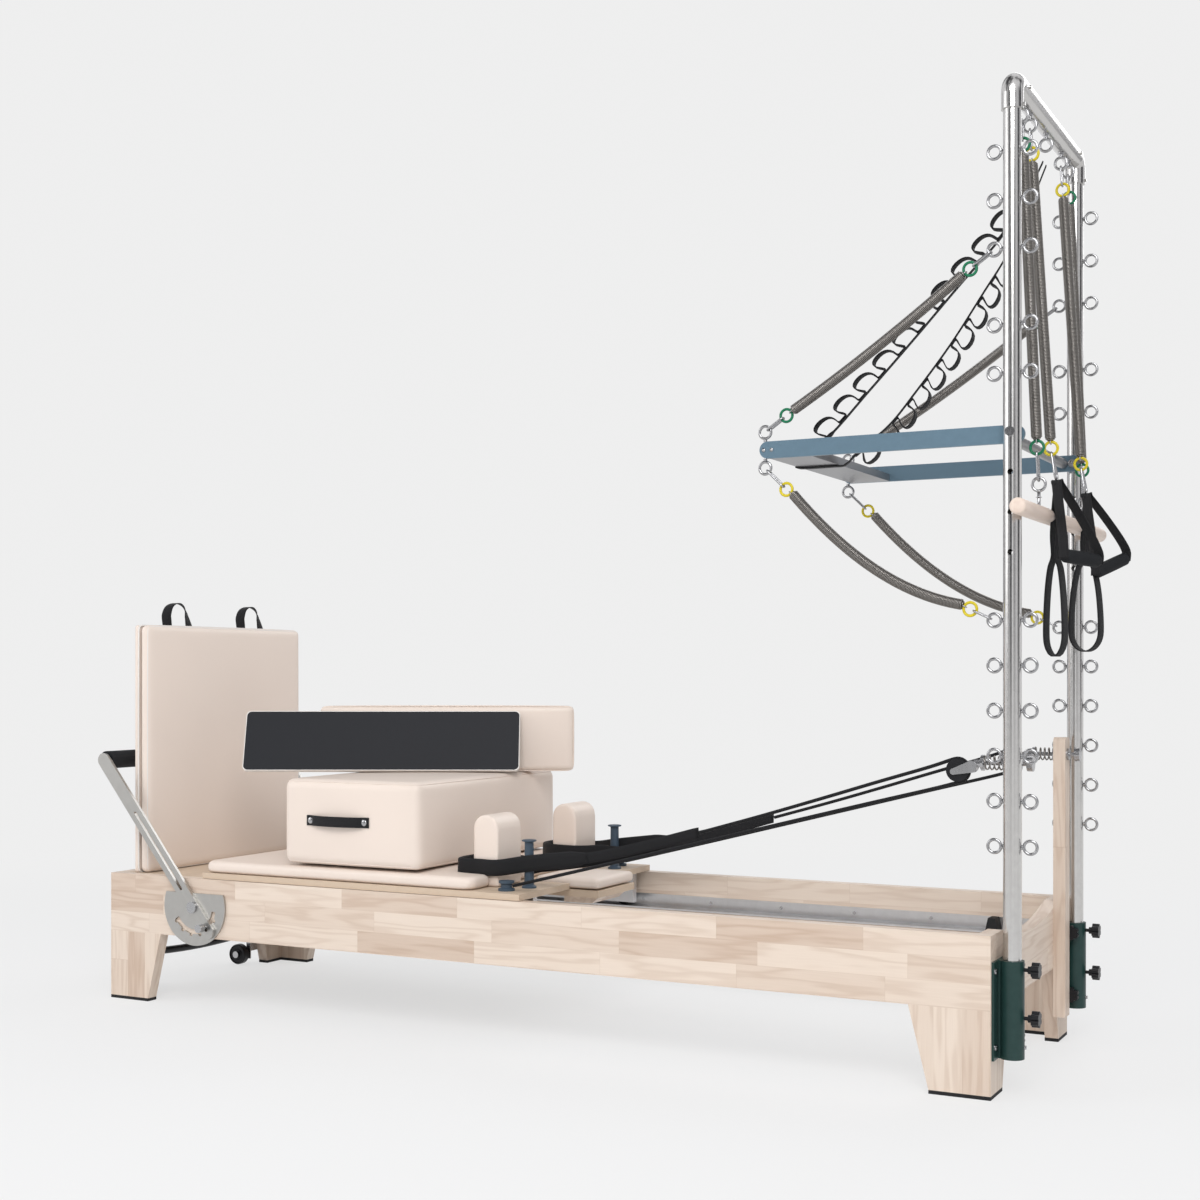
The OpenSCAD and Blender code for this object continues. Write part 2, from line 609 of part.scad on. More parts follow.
module pulley_wheel() translate([pulley_x, -pulley_y, pulley_z]) rotate([90, 0, 0])
    rotate_extrude($fn = 64) polygon([[pulley_pin + run, -pulley_w / 2 + gap], [pulley_r, -pulley_w / 2 + gap],
        [pulley_r, -rope_r], [pulley_r - 5, -rope_r / 2], [pulley_r - 5, rope_r / 2], [pulley_r, rope_r],
        [pulley_r, pulley_w / 2 - gap], [pulley_pin + run, pulley_w / 2 - gap]]);
module pulley_wheel_near() color(black) placed() pulley_wheel();
module pulley_wheel_far() color(black) placed() mirror([0, 1, 0]) pulley_wheel();

// Push-through bar: two flat arms, a wide front board and a rear tube
push_arm_t = 10;
push_arm_y = up_y - up_r - 2;
push_rear = 20;
front_w = 100;
front_in = 22;
front_t = 18;
module push_frame() color(blue) placed() {
    both_sides() plate_xz(-push_arm_y, -push_arm_y + push_arm_t) difference() {
        union() {
            translate([up_x - push_len + push_h / 2, push_z - push_h / 2]) square([push_len + push_rear - push_h, push_h]);
            translate([up_x - push_len + push_h / 2, push_z]) circle(r = push_h / 2, $fn = round_fn);
            translate([up_x + push_rear - push_h / 2, push_z]) circle(r = push_h / 2, $fn = round_fn);
        }
        translate([up_x, push_z]) circle(r = push_pin_r + run, $fn = round_fn);
    }
    translate([up_x - push_len + front_in, -push_arm_y + push_arm_t, push_z - push_h / 2])
        cube([front_w, 2 * (push_arm_y - push_arm_t), front_t]);
    bar_y([up_x - push_in_rear, 0, push_z], 12, 2 * (push_arm_y - push_arm_t), round_fn);
}
push_in_rear = 22;
module push_pivot_bolts() color(steel) placed() both_sides() {
    bar_y([up_x, -(up_y + up_r + push_arm_y - push_arm_t) / 2, push_z], push_pin_r,
        up_y + up_r - push_arm_y + push_arm_t + 4, round_fn);
    bar_y([up_x, -up_y - up_r - gap - 2.5, push_z], 10, 5, round_fn);
    bar_y([up_x, -push_arm_y + push_arm_t + gap + 2.5, push_z], 9.5, 5, round_fn);
}

// A snap hook from one ring's centre to another's: an oval link through both rings
link_w = 14;
ring_R = 14;
ring_r = 2.6;
wire_r = 1.8;
eye_in = eye_R - eye_r - hook_r - gap;
ring_in = ring_R - ring_r - hook_r - gap;
module link(l) {
    for (s = [-1, 1]) translate([0, s * link_w / 2, link_w / 2]) cylinder(r = hook_r, h = l - link_w, $fn = 16);
    for (e = [0, 1]) translate([0, 0, e == 0 ? link_w / 2 : l - link_w / 2]) rotate([0, e == 0 ? 90 : -90, 0])
        intersection() {
            rotate_extrude($fn = 32) translate([link_w / 2, 0]) circle(r = hook_r, $fn = 16);
            translate([0, -link_w, -link_w]) cube([link_w, 2 * link_w, 2 * link_w]);
        }
}
// From a to b; each is a ring's centre, with its own room for the hook's end
module snap_hook(a, b, room_a = eye_in, room_b = ring_in) {
    u = unit(b - a);
    aim(a + u * room_a, b - u * room_b) link(norm(b - a) - room_a - room_b);
}
// Where a spring's end meets the outside of its coloured ring
function ring_edge(c, to) = c + unit(to - c) * (ring_R + ring_r + gap);

// Middle points of the rings of the four push-through springs, near side
push_front_x = up_x - push_len + 12;
front_eye_up = [push_front_x, -push_arm_y + push_arm_t / 2, push_z + push_h / 2 + eye_R + eye_r + 4];
front_eye_low = [push_front_x, -push_arm_y + push_arm_t / 2, push_z - push_h / 2 - eye_R - eye_r - 4];
up_eye = [up_x - eye_out, -up_y, eye_zs[8]];
low_eye = [up_x - eye_out, -up_y, eye_zs[5]];
function between(a, b, d) = a + unit(b - a) * d;
hook_reach = 62;
ring_upper_tower = between(up_eye, front_eye_up, hook_reach);
ring_upper_front = between(front_eye_up, up_eye, hook_reach);
ring_lower_tower = between(low_eye, front_eye_low, hook_reach) - [0, 0, 10];
ring_lower_front = between(front_eye_low, low_eye, hook_reach) - [0, 0, 16];
lower_sag = 62;
coil_n = 6;
module push_spring_hooks() color(steel) placed() both_sides() {
    snap_hook(up_eye, ring_upper_tower);
    ring_xz(ring_upper_tower, ring_R, ring_r);
    snap_hook(low_eye, ring_lower_tower);
    ring_xz(ring_lower_tower, ring_R, ring_r);
}
module push_frame_eyes() color(steel) placed() both_sides() {
    for (e = [front_eye_up, front_eye_low]) ring_xz(e, eye_R, eye_r);
    translate([push_front_x, front_eye_up[1], push_z + push_h / 2]) cylinder(r = 4.5, h = 5, $fn = 24);
    translate([push_front_x, front_eye_up[1], push_z - push_h / 2 - 5]) cylinder(r = 4.5, h = 5, $fn = 24);
    snap_hook(front_eye_up, ring_upper_front);
    ring_xz(ring_upper_front, ring_R, ring_r);
    snap_hook(front_eye_low, ring_lower_front);
    ring_xz(ring_lower_front, ring_R, ring_r);
}
module push_springs() color("#77736f") placed() both_sides() {
    coil(ring_edge(ring_upper_tower, ring_upper_front), ring_edge(ring_upper_front, ring_upper_tower),
        0, spring_r, wire_r, coil_n);
    coil(ring_edge(ring_lower_tower, ring_lower_front - [0, 0, 60]),
        ring_edge(ring_lower_front, ring_lower_tower - [0, 0, 60]), lower_sag - 20, spring_r, wire_r, coil_n);
}

// The ladder strap hangs from the crossbar's middle eye, round the front board and back
web_t = 3;
ladder_w = 26;
ladder_pts = [[24, 0, 2020], [-20, -4, 1930], [-63, -8, 1866], [-157, -25, 1760], [-254, -50, 1644],
    [-353, -75, 1529], [-449, -92, 1424], [-500, -96, 1390], [-514, -98, 1382], [-522, -98, 1378],
    [-521.2, -98, 1356.2], [-516, -98, 1355.4], [-430, -97, 1355.4], [-408, -96, 1356], [-397, -93, 1364],
    [-384, -90, 1379], [-306, -75, 1446], [-253, -55, 1517], [-177, -35, 1623], [-102, -15, 1744],
    [-63, -10, 1804], [-14, -5, 1900], [31, 0, 2010]];
ladder_side = [0.3, 1, 0];
module ladder_strap() color(black) placed() {
    p = path_of(ladder_pts, 90);
    sweep(p, [for (q = p) q[0] < -440 ? [0, 1, 0] : ladder_side], [[-ladder_w / 2, -web_t / 2], [ladder_w / 2, -web_t / 2],
        [ladder_w / 2, web_t / 2], [-ladder_w / 2, web_t / 2]]);
}

// Ropes: from the strap loop, over the pulley and back to the carriage
cleat_x = -deck_head - 66;
cleat_y = 300;
deck_z = rail_top + 1;
deck_top = deck_z + deck_t;
rope_tip = [-711, -234, 508.9];
wrap_r = pulley_r + 0.2;
rope_route = concat([rope_tip, [-560, -233.5, 553], [-420, -233, 596], [-280, -233, 640], [-160, -233, 677]],
    [for (a = [107:-26:-76]) [pulley_x + wrap_r * cos(a), -pulley_y, pulley_z + wrap_r * sin(a)]],
    [[-140, -235, 633], [-300, -244, 592], [-500, -256, 540], [-700, -268, 488], [-900, -281, 436],
    [-1060, -291, 395], [-1140, -297, 374.5], [-1176 + rope_r, -300, 366.5]]);
// Moves points with the deck: all of it left of the ropes' tips, less and less towards the pulleys
deck_move = 1124 - deck_head;
function with_deck(p) = [for (q = p) q + [deck_move * max(0, min(1, (q[0] + 160) / -552)), 0, 0]];
module ropes() color(black) placed() both_sides() cord(with_deck(rope_route), rope_r - 0.5);

// Carriage
module arch_rest() {
    r = rest_d / 2;
    translate([-rest_x - rest_d, -rest_y - rest_w, deck_top]) rotate([90, 0, 180]) translate([-rest_d, 0, 0])
        linear_extrude(rest_w) union() {
            square([rest_d, rest_h - r]);
            translate([r, rest_h - r]) circle(r = r, $fn = round_fn);
        }
}
rest_x = deck_head + 116;
rest_y = 142;
module shoulder_rests() color(cream) placed() both_sides() arch_rest();

notch_x = deck_head + 116;
module carriage_deck() color("#d8bb94") placed() difference() {
    translate([-deck_foot, -half_w + 6, deck_z]) cube([deck_foot - deck_head, frame_w - 12, deck_t]);
    translate([-notch_x, -head_w / 2 - 4, deck_z - 1]) cube([notch_x, head_w + 8, deck_t + 2]);
    bar_y([-head_pin_x, 0, head_pin_z], head_pin_r, head_w + 40, round_fn);
}
module carriage_mattress() color(cream) placed() difference() {
    translate([-(deck_foot + mattress_head) / 2, 0, deck_top])
        cushion(deck_foot - mattress_head, frame_w - 20, mattress_t - 4, 24, 9, 2, 4);
    both_sides() translate([-rest_x - rest_d - 5, -rest_y - rest_w - 5, deck_top - 1])
        cube([rest_d + 200, rest_w + 10, mattress_t + 20]);
}

runner_y = 270;
runner_w = 20;
runner_z0 = 262;
runner_foot = -sbar_x - sbar_w - gap;
wheel_w = 20;
wheel_y = rail_in - track_t - 5 - wheel_w / 2;
wheel_xs = [-deck_head - 56, -deck_foot + 106];
cross_t = 30;
anchor_x = -deck_foot + 566;
module carriage_runners() color("#9aa0a6") placed() {
    both_sides() {
        translate([-runner_foot, -runner_y - runner_w / 2, runner_z0])
            cube([runner_foot - deck_head - 4, runner_w, deck_z - runner_z0]);
        for (x = wheel_xs) {
            bar_y([x, -(runner_y + runner_w / 2 + wheel_y + wheel_w / 2 + 2) / 2, track_z + wheel_r + gap],
                axle_r, wheel_y + wheel_w / 2 + 2 - runner_y - runner_w / 2, round_fn);
            bar_y([x, -wheel_y - wheel_w / 2 - 1.2, track_z + wheel_r + gap], axle_r + 3, 1.6, round_fn);
            bar_y([x, -runner_y - runner_w / 2 - 4, track_z + wheel_r + gap], axle_r + 4, 8, round_fn);
        }
    }
    for (x = [-deck_foot + 56, anchor_x, -deck_head - 151]) translate([x, -runner_y + runner_w / 2, x == anchor_x ? deck_z - 58 : deck_z - 24])
        cube([cross_t, 2 * runner_y - runner_w, x == anchor_x ? 58 : 24]);
}
module wheel_pair(x) both_sides() translate([x, -wheel_y, track_z + wheel_r + gap]) rotate([90, 0, 0])
    rotate_extrude($fn = 64) polygon([[axle_r + run, -wheel_w / 2], [wheel_r - 2, -wheel_w / 2],
        [wheel_r, -wheel_w / 2 + 2], [wheel_r, wheel_w / 2 - 2], [wheel_r - 2, wheel_w / 2], [axle_r + run, wheel_w / 2]]);
module carriage_wheels_head() color(black) placed() wheel_pair(wheel_xs[0]);
module carriage_wheels_foot() color(black) placed() wheel_pair(wheel_xs[1]);

// Rope pegs and cam cleats on the deck
peg_x = -deck_head - 44;
peg_y = 229;
peg_h = 118;
module deck_fittings() color(slate) placed() both_sides() {
    translate([-head_pin_x, 0, head_pin_z]) rotate([90, 0, 0]) cylinder(r = head_pin_r, h = head_w / 2 + 20, $fn = round_fn);
    translate([peg_x, -peg_y, deck_top]) rotate_extrude($fn = round_fn) polygon([[0, 0], [18, 0], [18, 4], [12, 8],
        [11, peg_h - 6], [18, peg_h - 4], [18, peg_h - 1], [14, peg_h], [0, peg_h]]);
    translate([cleat_x, -cleat_y, deck_top]) rotate_extrude($fn = round_fn)
        polygon([[0, 0], [20, 0], [20, 5], [14, 8], [14, 16], [19, 19], [19, 24], [0, 24]]);
}

// Five springs under the carriage, from its middle cross-member to the spring bar
spring_ys = [-180, -90, 0, 90, 180];
under_z = 302;
under_r = 13;
module carriage_springs() color(steel) placed() for (y = spring_ys) {
    translate([anchor_x - 400, y, under_z]) rotate([0, 90, 0]) rotate_extrude($fn = small_fn)
        polygon([[0, 0], [under_r - 2, 0], for (i = [0:19]) each [[under_r, i * 18 + 4], [under_r - 2, i * 18 + 14]],
            [under_r - 2, 370], [0, 370]]);
    bar_x([sbar_x + sbar_w + gap, y, under_z], 3.5, anchor_x - 400 - sbar_x - sbar_w - gap);
    bar_x([anchor_x - 30, y, under_z], 3.5, 30);
}

// Webbing loops hooked over the pegs, joined to the ropes at their tips
loop_w = 26;
loop_near = [[-1345, -266, 402.3], [-1290, -264.3, 402.3], [-1240, -264.3, 402.3], [-1168, -243, 414], [-1000, -240, 436],
    [-860, -237, 468], [-714, -234, 508], [-860, -221, 464], [-1000, -211, 428], [-1145, -204, 404], [-1178, -204, 401],
    [-1232, -139.7, 401], [-1320, -139.7, 402.3], [-1352, -170, 402.3], [-1358, -210, 402.3], [-1355, -240, 402.3]];
module strap_loops() color(black) placed() both_sides()
    sweep(with_deck(loop_near), [for (q = loop_near) [0.01, 0.02, 1]], [[-loop_w / 2, -web_t / 2], [loop_w / 2, -web_t / 2],
        [loop_w / 2, web_t / 2], [-loop_w / 2, web_t / 2]], true);

// Headrest: a padded board hinged in the deck's notch, and its prop
head_hinge = deck_head + 111;
head_pin_x = deck_head + 109;
head_pin_r = 3;
head_pin_z = 344;
head_barrel = 5.5;
head_board_t = 17;
head_pad_t = 26;
module headrest_board() color("#d8bb94") placed() difference() {
    union() {
        translate([-head_hinge, -head_w / 2, deck_z - head_board_t - 1]) cube([head_hinge - head_end, head_w, head_board_t]);
        bar_y([-head_pin_x, 0, head_pin_z], head_barrel, head_w, round_fn);
    }
    bar_y([-head_pin_x, 0, head_pin_z], head_pin_r + run, head_w + 2, round_fn);
}
pad_foot = head_pin_x - head_barrel - 0.5;
module headrest_pad() color(cream) placed()
    translate([-(pad_foot + head_end) / 2, 0, deck_z - 1])
        cushion(pad_foot - head_end, head_w, head_pad_t, 18, 8, 1.5, 7);
prop_t = 18;
prop_l = 100;
prop_w = 150;
prop_x = -deck_head - 31;
prop_z = deck_z - 1 - head_board_t - gap;
module headrest_prop() color(wood) placed() plate_xz(-prop_w / 2, prop_w / 2)
    polygon([[prop_x, prop_z - prop_t], [prop_x + prop_l - 22, prop_z - prop_t], [prop_x + prop_l, prop_z], [prop_x, prop_z]]);

// Sitting box with a strap handle at each end
box_z = deck_top + mattress_t + gap;
box_wall = 22;
module sitting_box() color(cream) placed() translate([-box_foot + box_l / 2, 0, box_z]) difference() {
    cushion(box_l, box_w - 8, box_h - 4, 26, 12, box_draw, 4);
    translate([-box_l / 2 + box_wall, -box_w / 2 + box_wall, box_wall])
        cube([box_l - 2 * box_wall, box_w - 2 * box_wall, box_h - 2 * box_wall]);
}
box_draw = 0.6;
handle_pts = [[-95, 0], [-80, -3], [-60, -12], [0, -17], [60, -12], [80, -3], [95, 0]];
module box_handles() color(black) placed() both_sides() {
    o = [-box_foot + box_l * 0.42, -box_w / 2 + 4 + box_draw / 2 - web_t / 2 - gap, box_z + box_h * 0.52];
    p = [for (q = handle_pts) o + [q[0], q[1], 0]];
    sweep(p, [for (q = p) [0, 1, 0]], strip(web_t, 26));
    for (s = [-1, 1]) bar_y(o + [s * 82, -5.5, 0], 8, 4);
}

// The standing board leans on the back cushion, both turned towards the room
board_yaw = 27.6;
board_l = 742;
board_w = 170;
board_thick = 15;
lean = 22;
lean_at = [-box_foot + 111.5, -70.5];
top_z = box_z + box_h + gap;
module on_box() translate([lean_at[0], lean_at[1], top_z]) rotate([0, 0, board_yaw]) children();
module standing_board() color(black) placed() on_box() translate([0, 0, board_thick * sin(lean)]) rotate([-lean, 0, 0])
    translate([-board_l / 2, 0, 0]) cube([board_l, board_thick, board_w]);
back_l = 691;
back_t = 60;
back_h = 177;
back_sink = 1.5;
back_at = [170, 78.5];
module back_cushion() color(cream) placed() on_box() translate([back_at[0], back_at[1] + back_t, back_h / 2 - back_sink])
    rotate([90, 0, 0]) cushion(back_l, back_h, back_t - 5, 22, 12, 2, 5);

// Jump board: plywood with padding, on two steel pins that go through the platform
module jump_board() color(cream) placed() {
    translate([jump_x, 0, rail_top + gap + jump_h / 2]) rotate([0, 90, 0]) linear_extrude(jump_ply) hull()
        for (a = [-1, 1]) for (b = [-1, 1])
            translate([a * (jump_h / 2 - 30), b * (jump_w / 2 - 30)]) circle(r = 30, $fn = 32);
    translate([jump_x + jump_ply, 0, rail_top + gap + jump_h / 2]) rotate([0, 90, 0])
        cushion(jump_h, jump_w, jump_pad - 5, 30, 10, 2, 5);
    for (s = [-1, 1]) translate([jump_x + jump_ply / 2 + 5, s * post_y, rail_top - post_deep])
        cylinder(r = post_r, h = post_deep + 20, $fn = round_fn);
}
loop_y = 157;
jloop = [[0, 52, -22], [0, 50, 0], [0, 46, 34], [0, 32, 56], [0, 12, 65], [0, -12, 65], [0, -32, 56],
    [0, -46, 34], [0, -50, 0], [0, -52, -22]];
module jump_loops() color(black) placed() both_sides() {
    p = [for (q = jloop) [jump_x - web_t / 2 - gap, -loop_y, rail_top + gap + jump_h] + q];
    sweep(p, [for (q = jloop) q[2] <= 0 ? [0, 0.03, 1] : [0, q[1], q[2]]], strip(web_t, web_t));
}

// Roll-down bar, hung from the crossbar's outer eyes
dowel_x = up_x + up_r + dowel_r + gap;
dowel_z = cross_eye_z - 842.65;
hang_y = 226;
bar_eye = [dowel_x, -hang_y, dowel_z + dowel_r + 44];
top_eye = [up_x, -hang_y, cross_eye_z];
roll_ring_low = between(bar_eye, top_eye, 78);
roll_ring_top = between(top_eye, bar_eye, 62);
module roll_down_bar() color(wood) placed() {
    bar_y([dowel_x, 0, dowel_z], dowel_r, dowel_l, round_fn);
    both_sides() {
        translate([dowel_x, -hang_y, dowel_z - dowel_r - 5]) cylinder(r = 3.5, h = 2 * dowel_r + 44 - eye_R + 5, $fn = 24);
        translate([dowel_x, -hang_y, dowel_z - dowel_r - 6]) cylinder(r = 7, h = 6.5, $fn = 24);
        ring_xz(bar_eye, eye_R, eye_r);
    }
}
module roll_down_springs() color("#77736f") placed() both_sides() {
    snap_hook(top_eye, roll_ring_top);
    ring_xz(roll_ring_top, ring_R, ring_r);
    snap_hook(bar_eye, roll_ring_low);
    ring_xz(roll_ring_low, ring_R, ring_r);
    coil(ring_edge(roll_ring_top, roll_ring_low), ring_edge(roll_ring_low, roll_ring_top), 0, spring_r, wire_r, coil_n);
}

// Arm springs with a hand strap and a foot loop, hung from the crossbar's inner eyes
arm_y0 = 151;
arm_eye = [up_x, -arm_y0, cross_eye_z];
arm_ring_low = arm_eye + [45, 0, -697.65];
arm_ring_top = between(arm_eye, arm_ring_low, 62);
carabiner_low = arm_ring_low + [12, 0, -69];
module arm_spring() {
    snap_hook(arm_eye, arm_ring_top);
    ring_xz(arm_ring_top, ring_R, ring_r);
    ring_xz(arm_ring_low, ring_R, ring_r);
    snap_hook(arm_ring_low, carabiner_low, ring_in, 0);
    coil(ring_edge(arm_ring_top, arm_ring_low), ring_edge(arm_ring_low, arm_ring_top), 0, spring_r, wire_r, coil_n);
}
module arm_spring_near() color("#77736f") placed() arm_spring();
module arm_spring_far() color("#77736f") placed() mirror([0, 1, 0]) arm_spring();

loop_end = 45;
// A hand strap runs from the hook round the grip and back; the foot loop hangs beside it
module hand_strap(top, to_a, to_b, to_low, loop_w2) {
    grip_a = top + to_a;
    grip_b = top + to_b;
    loop_low = top + to_low;
    e = unit(grip_b - grip_a);
    aim(grip_a, grip_b) cylinder(r = 15, h = norm(grip_b - grip_a), $fn = round_fn);
    p = [grip_a - e * 1.8, grip_a - e * 1.8 + [0, 0, 17], top + [2, -8, -2.8], top + [2, 8, -2.8],
        grip_b + e * 1.8 + [0, 0, 17], grip_b + e * 1.8];
    sweep(p, [for (q = p) [e[1], -e[0], 0]], [[-loop_w / 2, -web_t / 2], [loop_w / 2, -web_t / 2],
        [loop_w / 2, web_t / 2], [-loop_w / 2, web_t / 2]]);
    q = concat([top + [2, 0, -5.1], top + [-0.2, to_low[1] / 2, -90]],
        [for (a = [100:34:440]) [loop_low[0] + loop_w2 * cos(a), loop_low[1],
            loop_low[2] + loop_end + (sin(a) < 0 ? loop_end : 170) * sin(a)]],
        [top + [5, to_low[1] / 2, -90]]);
    sweep(q, [for (i = q) [0.01, 1, 0.02]], [[-10, -web_t / 2], [10, -web_t / 2], [10, web_t / 2], [-10, web_t / 2]], true);
}
module hand_strap_near() color(black) placed()
    hand_strap(carabiner_low, [22, -29, -163], [74, 61, -171], [-4, 6, -376], 17);
far_hook = [carabiner_low[0], arm_y0, carabiner_low[2]];
module hand_strap_far() color(black) placed()
    hand_strap(far_hook, [28, -31, -183], [79, 49, -148], [2, -11, -362], 30);

side_rails();
end_panels();
legs();
foot_pads();
foot_platform();
carriage_tracks();
track_screws();
carriage_stops();
spring_bar();
wheel_brackets();
stretcher_tube();
footbar_plates();
footbar_pivots();
tower_uprights();
tower_crossbar();
tower_eyebolts();
tower_brackets();
bracket_bolts();
bracket_knobs();
pulley_posts();
pulley_rods();
pulley_springs();
push_pivot_bolts();
push_spring_hooks();
push_springs();
ladder_strap();
ropes();
transport_wheel_near();
transport_wheel_far();
footbar_arms();
footbar_grip();
footbar_lock_pin();
push_frame();
push_frame_eyes();
carriage_deck();
carriage_mattress();
carriage_runners();
carriage_wheels_head();
carriage_wheels_foot();
shoulder_rests();
deck_fittings();
carriage_springs();
strap_loops();
headrest_board();
headrest_pad();
headrest_prop();
sitting_box();
box_handles();
standing_board();
back_cushion();
jump_board();
jump_loops();
roll_down_bar();
roll_down_springs();
pulley_wheel_near();
pulley_wheel_far();
arm_spring_near();
arm_spring_far();
hand_strap_near();
hand_strap_far();
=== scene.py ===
import bpy
import bmesh
import math
from bpy.props import FloatProperty, FloatVectorProperty, IntProperty, PointerProperty
from mathutils import Matrix, Vector


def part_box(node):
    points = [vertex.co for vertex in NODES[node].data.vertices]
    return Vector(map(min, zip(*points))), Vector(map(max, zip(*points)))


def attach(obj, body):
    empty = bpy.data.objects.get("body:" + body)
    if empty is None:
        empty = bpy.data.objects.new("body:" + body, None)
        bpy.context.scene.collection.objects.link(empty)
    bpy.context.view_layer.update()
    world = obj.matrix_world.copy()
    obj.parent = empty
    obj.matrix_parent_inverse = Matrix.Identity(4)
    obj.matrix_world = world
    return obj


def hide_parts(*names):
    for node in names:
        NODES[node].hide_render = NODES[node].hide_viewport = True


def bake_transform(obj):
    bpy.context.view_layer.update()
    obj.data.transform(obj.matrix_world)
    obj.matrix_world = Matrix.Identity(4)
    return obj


bl_info = {
    "name": "Pilates tower unit",
    "version": (1, 0, 0),
    "blender": (4, 5, 0),
    "location": "View3D > Sidebar > Pilates",
    "description": "Dresses the packed reformer and half tower with its wood, vinyl, springs and straps",
    "category": "Object",
}

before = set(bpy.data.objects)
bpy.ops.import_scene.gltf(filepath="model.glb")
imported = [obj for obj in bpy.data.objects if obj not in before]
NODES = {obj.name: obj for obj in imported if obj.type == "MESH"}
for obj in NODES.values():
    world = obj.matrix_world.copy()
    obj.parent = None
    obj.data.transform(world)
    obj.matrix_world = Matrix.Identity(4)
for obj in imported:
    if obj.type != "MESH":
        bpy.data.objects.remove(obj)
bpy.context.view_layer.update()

# The frame's head end lies this far from the model's middle, in metres
HEAD_X = 1.1401


def at(x, y, z):
    """A point given from the head end, in millimetres, as the model's metres."""
    return Vector((x / 1000 + HEAD_X, y / 1000, z / 1000))


def far(p):
    """The same point on the far side."""
    return Vector((p.x, -p.y, p.z))


def along(a, b, d):
    return a + (b - a).normalized() * d


# Places that the springs and straps share with the part's source
UP_X, UP_Y = 31, 305
EYE_OUT = 37.5
CROSS_EYE_Z = 2056.65
PUSH_Z, PUSH_FRONT_X, PUSH_EYE_Y = 1377, -529, -279
EYE_RISE = 39.95
HOOK = 0.062
RING_R, RING_SECTION = 0.014, 0.0026
EYE_R, EYE_WIRE = 0.0137, 0.00325
UP_EYE = at(UP_X - EYE_OUT, -UP_Y, 1760)
LOW_EYE = at(UP_X - EYE_OUT, -UP_Y, 988)
FRONT_UP = at(PUSH_FRONT_X, PUSH_EYE_Y, PUSH_Z + EYE_RISE)
FRONT_LOW = at(PUSH_FRONT_X, PUSH_EYE_Y, PUSH_Z - EYE_RISE)
RING_UP_TOWER = along(UP_EYE, FRONT_UP, HOOK)
RING_UP_FRONT = along(FRONT_UP, UP_EYE, HOOK)
RING_LOW_TOWER = along(LOW_EYE, FRONT_LOW, HOOK) - Vector((0, 0, 0.010))
RING_LOW_FRONT = along(FRONT_LOW, LOW_EYE, HOOK) - Vector((0, 0, 0.016))
ROLL_EYE = at(67.3, -226, 1214 + 17 + 44)
ROLL_TOP_EYE = at(UP_X, -226, CROSS_EYE_Z)
ROLL_RING_LOW = along(ROLL_EYE, ROLL_TOP_EYE, 0.078)
ROLL_RING_TOP = along(ROLL_TOP_EYE, ROLL_EYE, HOOK)
ARM_EYE = at(UP_X, -151, CROSS_EYE_Z)
ARM_RING_LOW = at(76, -151, 1359)
ARM_RING_TOP = along(ARM_EYE, ARM_RING_LOW, HOOK)
ARM_HOOK = at(88, -151, 1290)
SPRING_OUT, SPRING_END = 0.012, 0.0169

SIDES = (("near", lambda p: p), ("far", far))
WOVEN = ("webbing", "rope")


# Meshes

def new_piece(name, form, look, body, stands_for=(), smooth=True):
    """A finished piece from (vertices, faces) or (vertices, faces, run coordinates)."""
    verts, faces = form[:2]
    mesh = bpy.data.meshes.new(name)
    mesh.from_pydata([tuple(v) for v in verts], [], faces)
    mesh.update()
    if look in WOVEN:
        layer = mesh.uv_layers.new(name="run")
        for loop in mesh.loops:
            layer.data[loop.index].uv = form[2][loop.vertex_index]
    obj = bpy.data.objects.new(name, mesh)
    bpy.context.scene.collection.objects.link(obj)
    return finish_piece(obj, look, body, stands_for, smooth)


def finish_piece(obj, look, body, stands_for=(), smooth=True):
    """Gives a piece its look and slot, and its body when one is given."""
    mesh = obj.data
    mesh.materials.clear()
    mesh.materials.append(LOOKS[look])
    for face in mesh.polygons:
        face.use_smooth = smooth
    if body:
        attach(obj, body)
    if stands_for:
        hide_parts(*stands_for)
    return obj


def curve_through(points, step=0.012, closed=False):
    """Points a step apart on a smooth curve through the given ones."""
    pts = [Vector(p) for p in points]
    n = len(pts)
    out = []
    for i in range(n if closed else n - 1):
        p1, p2 = pts[i], pts[(i + 1) % n]
        p0 = pts[(i - 1) % n] if closed or i else p1 * 2 - p2
        p3 = pts[(i + 2) % n] if closed or i + 2 < n else p2 * 2 - p1
        count = max(1, round((p2 - p1).length / step))
        d1 = (p2 - p1).length ** 0.5 or 1e-6
        d0 = (p1 - p0).length ** 0.5 or 1e-6
        d2 = (p3 - p2).length ** 0.5 or 1e-6
        m1 = (p1 - p0) / d0 - (p2 - p0) / (d0 + d1) + (p2 - p1) / d1
        m2 = (p2 - p1) / d1 - (p3 - p1) / (d1 + d2) + (p3 - p2) / d2
        m1, m2 = m1 * d1, m2 * d1
        for k in range(count):
            t = k / count
            a, b = 2 * t ** 3 - 3 * t * t + 1, t ** 3 - 2 * t * t + t
            c, d = -2 * t ** 3 + 3 * t * t, t ** 3 - t * t
            out.append(p1 * a + m1 * b + p2 * c + m2 * d)
    if not closed:
        out.append(pts[-1])
    return out


def round_section(r, sides=12):
    return [(r * math.cos(2 * math.pi * k / sides), r * math.sin(2 * math.pi * k / sides)) for k in range(sides)]


def web_section(width, thick, corner=0.0006):
    """A flat strap's section with its edges rounded, width first."""
    w, t, c = width / 2, thick / 2, corner
    half = [(w - c, -t), (w, -t + c), (w, t - c), (w - c, t), (w / 3, t), (-w / 3, t)]
    return half + [(-x, -y) for x, y in half]


